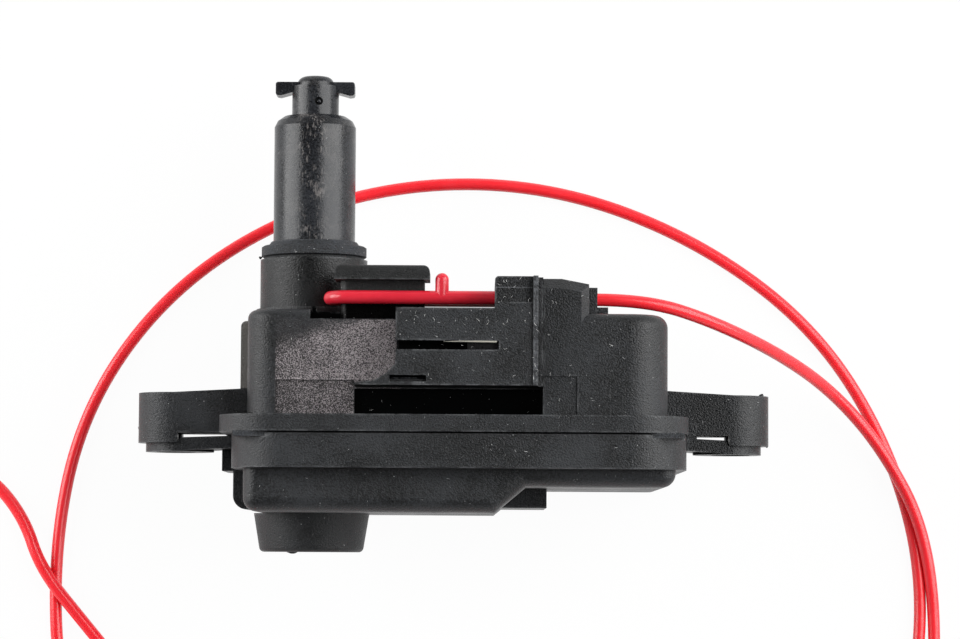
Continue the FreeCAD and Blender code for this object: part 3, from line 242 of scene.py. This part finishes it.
cordFinish = redNylon("redNylon", redNylonLook)
pullCord = makeCord(cord, cordFinish)
cordLength = splineLength(pullCord)
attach(pullCord, "release")
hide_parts("release_cord")
dress(["pull_tab"], cordFinish)
dress(["release_loop"], redNylon("redLoopNylon", redLoopLook))
print("cord laid:", round(cordLength, 3), "m")


# Black mouldings. The plastic is nylon with glass fibre, from a spark-eroded mould, so it is
# matt and grainy; handling has left dust and lint on it. Its edges are painted pale, partly as
# rubbing and partly as painted highlight. The grain of such a mould is about 0.05 mm wide and
# is drawn five times as coarse, so that it shows.

housingLook = {
    "dark": "#08090a", "light": "#25272a", "edge": "#5e6062", "dust": "#b9baba",
    "shadeBlack": "#020202", "hollow": "#020303",
    "grain": 0.26, "rough": 0.40, "bump": 0.6, "edgeWearAndHighlight": 0.5,      # grain width in mm
    "dustShare": 0.12, "lintShare": 0.012, "shine": 0.4,
    "cloud": 110.0, "edgeCloud": 420.0, "dustCloud": 130.0,      # waves per metre
    "grainDepth": 0.00022, "edgeReach": 0.0004, "cornerReach": 0.0008,
    "speckCell": 0.0004, "speckSize": 0.2, "hairSize": 0.22, "hairStretch": 9.0,
    "hairs": ((0.5, 0.0016), (1.3, 0.0013), (2.1, 0.0019), (2.8, 0.0012)),   # turn, cell
    "faceSheen": {"dark": "#1d1b1c", "light": "#aaa2a4", "left": -27.4, "right": -8.0,
             "top": -2.1, "step": -11.5, "bottom": -17.0, "level": (35.0, 36.0),
             "lean": -0.34, "corner": (1.4, 4.6), "across": (-28.0, -13.0),     # mm
             "side": (0.08, 0.50), "under": 0.34, "line": 0.15, "patchy": 0.12,
             "speckled": 0.6,                                                   # shares
             "drift": 240.0, "patch": 330.0, "speckle": 6600.0},   # waves per metre
    # painted shade: boxes painted near black under the plug and behind the loop, a painted shadow
    # line above the flange, and the tower painted darker
    "shades": [((-15.3, -17.2, 33.0), (13.9, -12.4, 35.3), 0.96),  # under the plug
               ((-22.2, -2.1, 28.0), (13.9, 0.6, 35.9), 0.93),     # ledge behind the loop
               ((-32.0, 0.2, 9.0), (-12.0, 9.0, 29.0), 0.75),      # tower
               ((-33.0, -16.75, 20.0), (32.0, -16.45, 34.0), 0.8)],  # seam above the flange
    # painted reflection of the white room on the rear layer at the far left
    "rearLayerReflection": {"low": (-36.0, -12.0, 0.0), "high": (-32.4, -1.0, 18.6), "colour": "#6f6c68"},
}


def mouldedPlastic(name, look, paint=None):
    material, tree = newMaterial(name)
    place = addNode(tree, "ShaderNodeTexCoord").outputs["Object"]
    axes = addNode(tree, "ShaderNodeSeparateXYZ", {"Vector": place}).outputs
    cloud = noiseValue(tree, place, look["cloud"], 4.0, 0.6)
    grain = noiseValue(tree, place, 1000 / look["grain"], 2.0, 0.6)
    tone = mathNode(tree, "MULTIPLY_ADD", cloud, 0.45, mathNode(tree, "MULTIPLY", grain, 0.55))
    tone = ramp(tree, tone, 0.40, 0.60)
    colour = blendColour(tree, tone, linearColour(look["dark"]), linearColour(look["light"]))
    paintedShade = None
    if paint:
        colour, paintedShade = paint(tree, place, axes, colour)
    # pale edges, partly rubbing and partly a painted highlight for the light that rounded edges
    # catch: where the solid is thin just under the surface, in broken patches
    inner = addNode(tree, "ShaderNodeAmbientOcclusion", {"Distance": look["edgeReach"]},
                    inside=True, samples=6).outputs["AO"]
    paleMark = mathNode(tree, "MULTIPLY", ramp(tree, inner, 0.95, 0.55),
                      ramp(tree, noiseValue(tree, place, look["edgeCloud"], 4.0, 0.7), 0.42, 0.62))
    colour = blendColour(tree, mathNode(tree, "MULTIPLY", paleMark, look["edgeWearAndHighlight"]), colour,
                         linearColour(look["edge"]))
    patch = ramp(tree, noiseValue(tree, place, look["dustCloud"]), 0.35, 0.6, 0.25, 1.0)
    dust = specks(tree, place, look["speckCell"], look["dustShare"], look["speckSize"])
    for turn, cell in look["hairs"]:
        dust = mathNode(tree, "MAXIMUM", dust, specks(
            tree, place, cell, look["lintShare"], look["hairSize"], turn, look["hairStretch"]))
    dust = mathNode(tree, "MULTIPLY", dust, patch)
    colour = blendColour(tree, dust, colour, linearColour(look["dust"]))
    # painted shade: the inside corners are painted near black, where shade falls
    openness = addNode(tree, "ShaderNodeAmbientOcclusion", {"Distance": look["cornerReach"]},
                       samples=6).outputs["AO"]
    colour = blendColour(tree, ramp(tree, openness, 0.8, 0.45, 0.0, 0.85), colour,
                         linearColour(look["shadeBlack"]))
    rough = ramp(tree, cloud, 0.3, 0.7, look["rough"] - 0.06, look["rough"] + 0.08)
    rough = mathNode(tree, "MULTIPLY_ADD", mathNode(tree, "SUBTRACT", grain, 0.5), 0.5, rough)
    shine = look["shine"]
    if paintedShade:
        # in the painted-shade boxes the grain is smoothed away and the shine cut, so they stay
        # dark
        grain = mathNode(tree, "MULTIPLY", grain, mathNode(tree, "SUBTRACT", 1.0, paintedShade))
        rough = mathNode(tree, "MULTIPLY_ADD", paintedShade, -0.25, rough)
        shine = mathNode(tree, "MULTIPLY_ADD", paintedShade, -0.8 * look["shine"], look["shine"])
    bump = addNode(tree, "ShaderNodeBump", {
        "Height": grain, "Strength": look["bump"],
        "Distance": look["grainDepth"]}).outputs["Normal"]
    shader = addNode(tree, "ShaderNodeBsdfPrincipled", {
        "Base Color": colour, "Roughness": rough, "Normal": bump,
        "Specular IOR Level": shine})
    addNode(tree, "ShaderNodeOutputMaterial", {"Surface": shader.outputs["BSDF"]})
    return material


def paintHousing(tree, place, axes, colour):
    # painted sheen: the flat face beside the plug is painted a grainy warm grey for the light its
    # textured face catches, with painted shade dark towards its top left and dimmer under the
    # step, a painted highlight along the step; the painted-shade boxes go near black
    faceSheen = housingLook["faceSheen"]
    mm = 0.001
    area = inBox(tree, axes, (faceSheen["left"], faceSheen["bottom"], faceSheen["level"][0]),
                 (faceSheen["right"], faceSheen["top"], faceSheen["level"][1]), 0.12)
    drift = noiseValue(tree, place, faceSheen["drift"], 3.0)
    drift = mathNode(tree, "MULTIPLY_ADD", drift, 4 * mm, -2 * mm)
    corner = mathNode(tree, "MULTIPLY_ADD", axes["X"], faceSheen["lean"], axes["Y"])
    corner = ramp(tree, mathNode(tree, "ADD", corner, drift), faceSheen["corner"][0] * mm,
                  faceSheen["corner"][1] * mm, 1.0, 0.1)
    sideways = ramp(tree, mathNode(tree, "ADD", axes["X"], drift), faceSheen["across"][0] * mm,
                    faceSheen["across"][1] * mm, *faceSheen["side"])
    step = faceSheen["step"] * mm
    under = ramp(tree, axes["Y"], step - 0.1 * mm, step + 0.1 * mm, faceSheen["under"], 1.0)
    line = band(tree, axes["Y"], step + 0.1 * mm, step + 0.3 * mm, 0.06 * mm)
    shade = mathNode(tree, "MULTIPLY", mathNode(tree, "MULTIPLY", sideways, corner), under)
    shade = mathNode(tree, "MULTIPLY_ADD", line, faceSheen["line"], shade)
    patchy = ramp(tree, noiseValue(tree, place, faceSheen["patch"], 4.0, 0.65), 0.3, 0.7,
                  -faceSheen["patchy"], faceSheen["patchy"])
    speckle = ramp(tree, noiseValue(tree, place, faceSheen["speckle"], 1.0), 0.3, 0.7,
                   -faceSheen["speckled"], faceSheen["speckled"])
    shade = mathNode(tree, "ADD", shade, mathNode(tree, "ADD", patchy, speckle))
    paleMark = blendColour(tree, shade, linearColour(faceSheen["dark"]), linearColour(faceSheen["light"]))
    colour = blendColour(tree, mathNode(tree, "MULTIPLY", area, corner), colour, paleMark)
    # painted reflection: the rear layer at the far left is painted pale beige-grey for the white
    # room it reflects
    layer = housingLook["rearLayerReflection"]
    colour = blendColour(tree, inBox(tree, axes, layer["low"], layer["high"], 0.1), colour,
                         linearColour(layer["colour"]))
    # painted shade: each box blends the colour towards near black
    paintedShade = None
    for low, high, depth in housingLook["shades"]:
        shaded = mathNode(tree, "MULTIPLY", inBox(tree, axes, low, high, 0.1), depth)
        colour = blendColour(tree, shaded, colour, linearColour(housingLook["hollow"]))
        paintedShade = mathNode(tree, "MAXIMUM", paintedShade, shaded) if paintedShade else shaded
    return colour, ramp(tree, paintedShade, 0.7, 0.9)


# the looks below take the housing's and change what differs; their boxes are in mm
# the connector adds a painted-shade box inside the plug and painted highlights on its ridge and
# under the guide's top
connectorLook = dict(housingLook, dustShare=0.2, lintShare=0.04, edgeWearAndHighlight=0.8,
                     inside=((-16.0, -11.6, 36.6), (7.1, -1.9, 43.6)), insideShade=0.95,
                     ridge=((12.1, -12.7, 43.5), (13.0, 4.2, 45.0)), ridgeCloud=900.0,
                     bevel=((6.4, 2.32, 42.8), (12.2, 2.46, 43.2)), bevelDepth=0.6,
                     paleMark="#5c5e62")
capLook = dict(housingLook, dark="#090a0b", light="#1d1f21", rough=0.5, lintShare=0.02)
# the lug's foot box is painted shade
lugLook = dict(capLook, dark="#040505", light="#121415", dustShare=0.05,
               foot=((-20.0, -20.0, 20.0), (0.0, 0.6, 40.0)), footShade="#010101")
# painted shade: the contact carrier is a near-black copy of the cap's nylon for the shade inside
# the plug
carrierShadeLook = dict(capLook, dark="#020202", light="#060607", rough=0.3, bump=0.1, edgeWearAndHighlight=0.0,
                   dustShare=0.0, lintShare=0.0)
rubberLook = dict(housingLook, dark="#0e1012", light="#303338", rough=0.6, bump=1.0, edgeWearAndHighlight=0.3,
                  dustShare=0.35, lintShare=0.05)
sleeveLook = dict(housingLook, dark="#111214", light="#25272b", edge="#505256", rough=0.24,
                  grain=0.30, bump=0.16, edgeWearAndHighlight=0.35, dustShare=0.06, lintShare=0.012, shine=0.38,
                  mouldLine=((-26.43, 11.5, 20.5), (-26.31, 30.8, 30.0)), lineColour="#040405",
                  middle=((-24.6, 10.0, 22.0), (-20.6, 32.0, 30.0)), scuff="#7a7674",
                  streak=3600.0, scuffCloud=260.0)


def paintConnector(tree, place, axes, colour):
    # painted shade: the plug's inside is painted near black; painted highlight: its ridge and a
    # line under the guide's top are painted pale
    look = connectorLook
    inside = inBox(tree, axes, *look["inside"], 0.1)
    colour = blendColour(tree, mathNode(tree, "MULTIPLY", inside, look["insideShade"]), colour,
                         linearColour(look["shadeBlack"]))
    # painted highlight along the ridge, broken in patches, and along the bevel line under the
    # guide's top
    ridge = mathNode(tree, "MULTIPLY", inBox(tree, axes, *look["ridge"], 0.1), ramp(
        tree, noiseValue(tree, place, look["ridgeCloud"], 3.0, 0.7), 0.4, 0.65, 0.1, 0.7))
    bevel = mathNode(tree, "MULTIPLY", inBox(tree, axes, *look["bevel"], 0.05),
                     look["bevelDepth"])
    paleMark = mathNode(tree, "MAXIMUM", ridge, bevel)
    return blendColour(tree, paleMark, colour, linearColour(look["paleMark"])), inside


def paintLug(tree, place, axes, colour):
    # painted shade: the lug is painted black where it stands in the slot, under the loop's bar
    foot = inBox(tree, axes, *lugLook["foot"], 0.3)
    return blendColour(tree, foot, colour, linearColour(lugLook["footShade"])), foot


def paintPin(tree, place, axes, colour):
    # the sleeve's mould line on its left flank, and whitish rubbing marks down its middle
    look = sleeveLook
    line = inBox(tree, axes, *look["mouldLine"], 0.03)
    colour = blendColour(tree, line, colour, linearColour(look["lineColour"]))
    drawn = addNode(tree, "ShaderNodeMapping", {
        "Vector": place, "Scale": (1.0, 0.3, 1.0)}).outputs["Vector"]
    streak = noiseValue(tree, drawn, look["streak"], 3.0, 0.75)
    patch = noiseValue(tree, place, look["scuffCloud"], 3.0, 0.6)
    middle = inBox(tree, axes, *look["middle"], 0.5)
    marks = ramp(tree, mathNode(tree, "ADD", streak, patch), 1.04, 1.2, 0.0, 0.6)
    marks = mathNode(tree, "MULTIPLY", marks, mathNode(
        tree, "MULTIPLY_ADD", middle, 0.8, 0.2))
    return blendColour(tree, marks, colour, linearColour(look["scuff"])), None


blackNylon = mouldedPlastic("blackNylon", housingLook, paintHousing)
dress(["upper_housing", "lower_cover"], blackNylon)
dress(["spring_cap"], mouldedPlastic("capNylon", capLook))
dress(["release_slider"], mouldedPlastic("lugNylon", lugLook, paintLug))
dress(["contact_carrier"], mouldedPlastic("carrierNylon", carrierShadeLook))
dress(["connector_housing"], mouldedPlastic("connectorNylon", connectorLook, paintConnector))
dress(["tower_seal", "housing_seal"], mouldedPlastic("sealRubber", rubberLook))
dress(["plunger_sleeve", "head_pin"], mouldedPlastic("pinPlastic", sleeveLook, paintPin))
print("mouldings dressed")


def innerMaterial(name, look):
    # one engineering material: base tone, small clouding and machining lines
    material, tree = newMaterial(name)
    place = addNode(tree, "ShaderNodeTexCoord").outputs["Object"]
    fine = noiseValue(tree, place, look["fine"])
    colour = blendColour(tree, noiseValue(tree, place, look["cloud"], 4.0),
                         linearColour(look["dark"]), linearColour(look["light"]))
    rough = ramp(tree, fine, 0.0, 1.0, look["rough"] - 0.08, look["rough"] + 0.1, "LINEAR")
    bump = addNode(tree, "ShaderNodeBump", {
        "Height": fine, "Strength": 0.2, "Distance": 0.00004}).outputs["Normal"]
    shader = addNode(tree, "ShaderNodeBsdfPrincipled", {
        "Base Color": colour, "Roughness": rough, "Normal": bump, "Metallic": look["metal"]})
    addNode(tree, "ShaderNodeOutputMaterial", {"Surface": shader.outputs["BSDF"]})
    return material


innerLooks = {  # cloud and fine are waves per metre
    # moulded without pigment: milky, satin
    "naturalAcetal": {"dark": "#dcd8c8", "light": "#efecdf", "cloud": 120.0, "fine": 1800.0,
                      "rough": 0.4, "metal": 0.0,
                      "on": ["guide_bush", "worm_wheel", "lock_bolt", "bolt_guide",
                             "shaft_bracket"]},
    # moulded, satin
    "greyNylon": {"dark": "#55585b", "light": "#6a6d70", "cloud": 120.0, "fine": 2000.0,
                  "rough": 0.5, "metal": 0.0, "on": ["gear_plate", "motor_end_cap",
                                                    "motor_cradle"]},
    # drawn and coiled wire, bright
    "springSteel": {"dark": "#8c8f92", "light": "#b9bcbf", "cloud": 400.0, "fine": 4000.0,
                    "rough": 0.3, "metal": 1.0, "on": ["plunger_spring"]},
    # turned and ground, or stamped and plated: an even sheen
    "groundSteel": {"dark": "#a3a6a9", "light": "#c4c7c9", "cloud": 150.0, "fine": 3000.0,
                    "rough": 0.28, "metal": 1.0,
                    "on": ["guide_rod", "wheel_axle", "motor_can", "motor_shaft",
                           "armature_core"]},
    # pressed and fired powder: dull, nearly black
    "ferrite": {"dark": "#1d1e20", "light": "#34363a", "cloud": 300.0, "fine": 3500.0,
                "rough": 0.6, "metal": 0.0, "on": ["motor_magnets"]},
    # pressed metal powder, a little porous
    "sinteredBronze": {"dark": "#8a6434", "light": "#b98d52", "cloud": 300.0, "fine": 4000.0,
                       "rough": 0.35, "metal": 1.0, "on": ["shaft_bush", "drive_worm"]},
    # stamped strip with a thin bright tin layer
    "tinnedBrass": {"dark": "#b8b6ae", "light": "#d6d4cb", "cloud": 300.0, "fine": 4000.0,
                    "rough": 0.25, "metal": 1.0, "on": ["contact_pins"]},
}
for name, look in innerLooks.items():
    dress(look["on"], innerMaterial(name, look))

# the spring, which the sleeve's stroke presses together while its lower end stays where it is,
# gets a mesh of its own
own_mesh(nodes["plunger_spring"])
print("inner parts dressed")


def ringMesh(name, rings, material, body):
    # small pieces that the solids leave out: rings of points (..., along, around, 3) in metres
    # made into closed skins with end caps
    along, around = rings.shape[-3:-1]
    skins = rings.reshape(-1, along, around, 3)
    first = (np.arange(len(skins)) * along * around)[:, None]
    i, j = np.meshgrid(np.arange(along - 1), np.arange(around), indexing="ij")
    here, beside = i * around + j, i * around + (j + 1) % around
    quads = np.stack([here, here + around, beside + around, beside], axis=-1).reshape(1, -1, 4)
    quads = (first[:, :, None] + quads).reshape(-1, 4)
    start = first + np.arange(around)[None, :]
    end = first + (along - 1) * around + np.arange(around)[None, ::-1]
    mesh = bpy.data.meshes.new(name)
    mesh.from_pydata(skins.reshape(-1, 3).tolist(), [],
                     quads.tolist() + start.tolist() + end.tolist())
    mesh.shade_smooth()
    mesh.materials.append(material)
    item = bpy.data.objects.new(name, mesh)
    bpy.context.scene.collection.objects.link(item)
    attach(item, body)
    return item


# painted light in the plug's slot, given as a pale strip
slotLightStrip = {"from": (-1.4, -5.98), "to": (6.7, -5.92), "low": 42.7, "high": 43.75,
                "thin": 0.03, "thick": 0.38, "bow": 0.07, "taper": 1.6, "swell": 0.8}   # mm


def makeSlotLightStrip(look, material):
    # painted light: a pale strip standing in for the light seen through the plug's slot: an oval
    # section carried along the slot, a thin line at the tip and wider at the root; it stands on
    # the contact carrier
    t = np.linspace(0, 1, 24)[:, None]
    turn = np.linspace(0, 2 * np.pi, 16, endpoint=False)[None, :]
    swell = np.minimum(t * look["taper"], 1) ** look["swell"]
    half = (look["thin"] + (look["thick"] - look["thin"]) * swell) / 2
    x = look["from"][0] + (look["to"][0] - look["from"][0]) * t + 0 * turn
    y = look["from"][1] + (look["to"][1] - look["from"][1]) * t
    y = y + look["bow"] * np.sin(np.pi * t) + half * np.cos(turn)
    middle, reach = (look["low"] + look["high"]) / 2, (look["high"] - look["low"]) / 2
    z = middle + reach * np.sin(turn) + 0 * t
    rings = np.stack([x, y, z], axis=-1) / 1000
    item = ringMesh("slotLightStrip", rings, material, "housing")


flash = {  # name, body, centre, half sizes, all mm: trimmed flash and gate remains
    "earTopChip": ("housing", (48.9, -12.85, 19.2), (0.35, 0.38, 0.5)),
    "earLowChip": ("housing", (49.75, -20.75, 19.0), (0.22, 0.3, 0.7)),
    "leftEarChip": ("housing", (-49.8, -18.6, 19.3), (0.25, 0.35, 0.5)),
    "capChip": ("housing", (-25.4, -38.05, 19.4), (0.75, 0.22, 0.5)),
    "collarChip": ("housing", (-30.95, 8.75, 19.0), (0.25, 0.22, 0.6)),
    "gatePip": ("head", (-21.7, 33.5, 22.35), (0.36, 0.36, 0.25)),
}


def makeFlash(name, body, centre, half, material):
    # an ellipsoid whose radius swells and shrinks with both angles
    up = np.linspace(0.06, np.pi - 0.06, 11)[:, None]
    turn = np.linspace(0, 2 * np.pi, 14, endpoint=False)[None, :]
    seed = centre[0]
    swell = 1 + 0.16 * np.sin(3 * turn + seed) * np.sin(up) + 0.12 * np.sin(5 * up + 2 * turn)
    x = centre[0] + half[0] * swell * np.sin(up) * np.cos(turn)
    y = centre[1] + half[1] * swell * np.sin(up) * np.sin(turn)
    z = centre[2] - half[2] * np.cos(up) + 0 * turn
    item = ringMesh(name, np.stack([x, y, z], axis=-1) / 1000, material, body)


lint = {"seed": 11, "radius": 0.022, "long": (0.2, 0.7),   # mm
        "patches": [  # left, right, bottom, top, surface level, number
            (-8.5, 12.0, -3.4, -0.9, 44.0, 22), (-8.5, 12.0, -12.3, -4.0, 44.0, 9),
            (6.6, 12.0, -0.6, 3.8, 43.0, 12), (12.15, 12.85, -12.0, 3.6, 44.4, 9),
            (14.2, 26.0, -16.8, 2.0, 41.0, 12), (-26.0, -9.2, -16.8, -2.4, 35.5, 8)]}


def makeLint(look, material):
    # short bent fibres lying on the front faces: a thin ring carried along a parabola
    pick = np.random.default_rng(look["seed"])
    spots = np.array(look["patches"], dtype=float)
    spots = np.repeat(spots, spots[:, 5].astype(int), axis=0)
    count = len(spots)
    x = pick.uniform(spots[:, 0], spots[:, 1])
    y = pick.uniform(spots[:, 2], spots[:, 3])
    heading = pick.uniform(0, np.pi, count)
    long = pick.uniform(*look["long"], count)
    bow = pick.uniform(-0.3, 0.3, count) * long
    t = np.linspace(-0.5, 0.5, 7)[None, :]
    dx, dy = np.cos(heading)[:, None], np.sin(heading)[:, None]
    rise = bow[:, None] * 4 * t ** 2
    line = np.stack([x[:, None] + long[:, None] * t * dx - rise * dy,
                     y[:, None] + long[:, None] * t * dy + rise * dx], axis=-1)
    turn = np.linspace(0, 2 * np.pi, 6, endpoint=False)
    radius = look["radius"] * (1 - 0.5 * (2 * t) ** 2)[..., None]
    shape = line.shape[:2] + (6,)
    out = radius * np.cos(turn)
    rings = np.stack([
        np.broadcast_to(line[:, :, 0, None], shape) - out * dy[..., None],
        np.broadcast_to(line[:, :, 1, None], shape) + out * dx[..., None],
        spots[:, 4][:, None, None] + radius * 0.8 + radius * np.sin(turn)
        + np.zeros(shape)], axis=-1) / 1000
    item = ringMesh("lint", rings, material, "housing")


def paleLint(name):
    # cotton and paper fibre: soft, off-white, a little darker in places
    material, tree = newMaterial(name)
    place = addNode(tree, "ShaderNodeTexCoord").outputs["Object"]
    shade = noiseValue(tree, place, 700.0, 2.0)
    colour = blendColour(tree, ramp(tree, shade, 0.4, 0.6), linearColour("#8d8e8e"),
                         linearColour("#e4e4e2"))
    shader = addNode(tree, "ShaderNodeBsdfPrincipled", {"Base Color": colour, "Roughness": 0.9})
    addNode(tree, "ShaderNodeOutputMaterial", {"Surface": shader.outputs["BSDF"]})
    return material


makeSlotLightStrip(slotLightStrip, bpy.data.materials["naturalAcetal"])
for name, (body, centre, half) in flash.items():
    makeFlash(name, body, centre, half,
              bpy.data.materials["pinPlastic" if body == "head" else "capNylon"])
makeLint(lint, paleLint("cottonLint"))
print("small pieces made")


studio = {
    "tableSize": 3.0,
    "tableColour": "#f2f2f2",
    "whiteShare": 0.96,     # how far the table shows plain white to the eye
    "overhead": 0.12,       # brightness of the dark room above; 1 at the horizon
    "lamps": [  # name, place, size, radiance
        ("leftLamp", (-0.75, 0.18, 0.27), (0.52, 0.90), 5.4),
        ("rightLamp", (0.617, 0.18, 0.509), (0.73, 0.90), 4.9)],
}


def makeTable(look):
    # one flat square grid, z = 0 all over
    half = look["tableSize"] / 2
    across, along = np.meshgrid(np.linspace(-half, half, 3), np.linspace(-half, half, 3))
    points = np.stack([across, along, np.zeros_like(across)], axis=-1).reshape(-1, 3)
    corner = (np.arange(2)[:, None] * 3 + np.arange(2)[None, :]).reshape(-1, 1)
    faces = corner + np.array([[0, 1, 4, 3]])
    mesh = bpy.data.meshes.new("table")
    mesh.from_pydata(points.tolist(), [], faces.tolist())
    item = bpy.data.objects.new("table", mesh)
    bpy.context.scene.collection.objects.link(item)
    material, tree = newMaterial("whitePaper")
    rays = addNode(tree, "ShaderNodeLightPath").outputs
    seen = mathNode(tree, "MAXIMUM", rays["Is Camera Ray"], rays["Is Glossy Ray"])
    seen = mathNode(tree, "MAXIMUM", seen, rays["Is Transmission Ray"])
    share = mathNode(tree, "MULTIPLY", seen, look["whiteShare"])
    place = addNode(tree, "ShaderNodeTexCoord").outputs["Object"]
    bump = addNode(tree, "ShaderNodeBump", {   # paper fibres about 1 mm apart
        "Height": noiseValue(tree, place, 900.0), "Strength": 0.05,
        "Distance": 0.0001}).outputs["Normal"]
    paper = addNode(tree, "ShaderNodeBsdfDiffuse", {
        "Color": linearColour(look["tableColour"]), "Normal": bump})
    white = addNode(tree, "ShaderNodeEmission", {"Color": (1, 1, 1, 1), "Strength": 1.0})
    mixed = addNode(tree, "ShaderNodeMixShader", {
        "Fac": share, 1: paper.outputs["BSDF"], 2: white.outputs["Emission"]})
    addNode(tree, "ShaderNodeOutputMaterial", {"Surface": mixed.outputs["Shader"]})
    mesh.materials.append(material)


def makeLamps(look):
    for name, place, size, radiance in look["lamps"]:
        lamp = bpy.data.lights.new(name, "AREA")
        lamp.shape = "RECTANGLE"
        lamp.size, lamp.size_y = size
        lamp.energy = radiance * math.pi * size[0] * size[1]
        item = bpy.data.objects.new(name, lamp)
        bpy.context.scene.collection.objects.link(item)
        aim = Vector((0, 0, 0.02)) - Vector(place)
        item.matrix_world = (Matrix.Translation(place)
                             @ aim.to_track_quat("-Z", "Y").to_matrix().to_4x4())


def makeSky(look):
    # a pale room: white at the height of the table, dark overhead
    world = bpy.data.worlds.new("studio")
    bpy.context.scene.world = world
    world.use_nodes = True
    tree = world.node_tree
    tree.nodes.clear()
    towards = addNode(tree, "ShaderNodeTexCoord").outputs["Generated"]
    height = addNode(tree, "ShaderNodeSeparateXYZ", {"Vector": towards}).outputs["Z"]
    level = ramp(tree, height, 0.15, 0.6, 1.0, look["overhead"])
    room = addNode(tree, "ShaderNodeBackground", {"Color": (1, 1, 1, 1), "Strength": level})
    addNode(tree, "ShaderNodeOutputWorld", {"Surface": room.outputs["Background"]})


makeTable(studio)
makeLamps(studio)
makeSky(studio)
bpy.context.scene.view_settings.view_transform = "Standard"
print("studio lit")
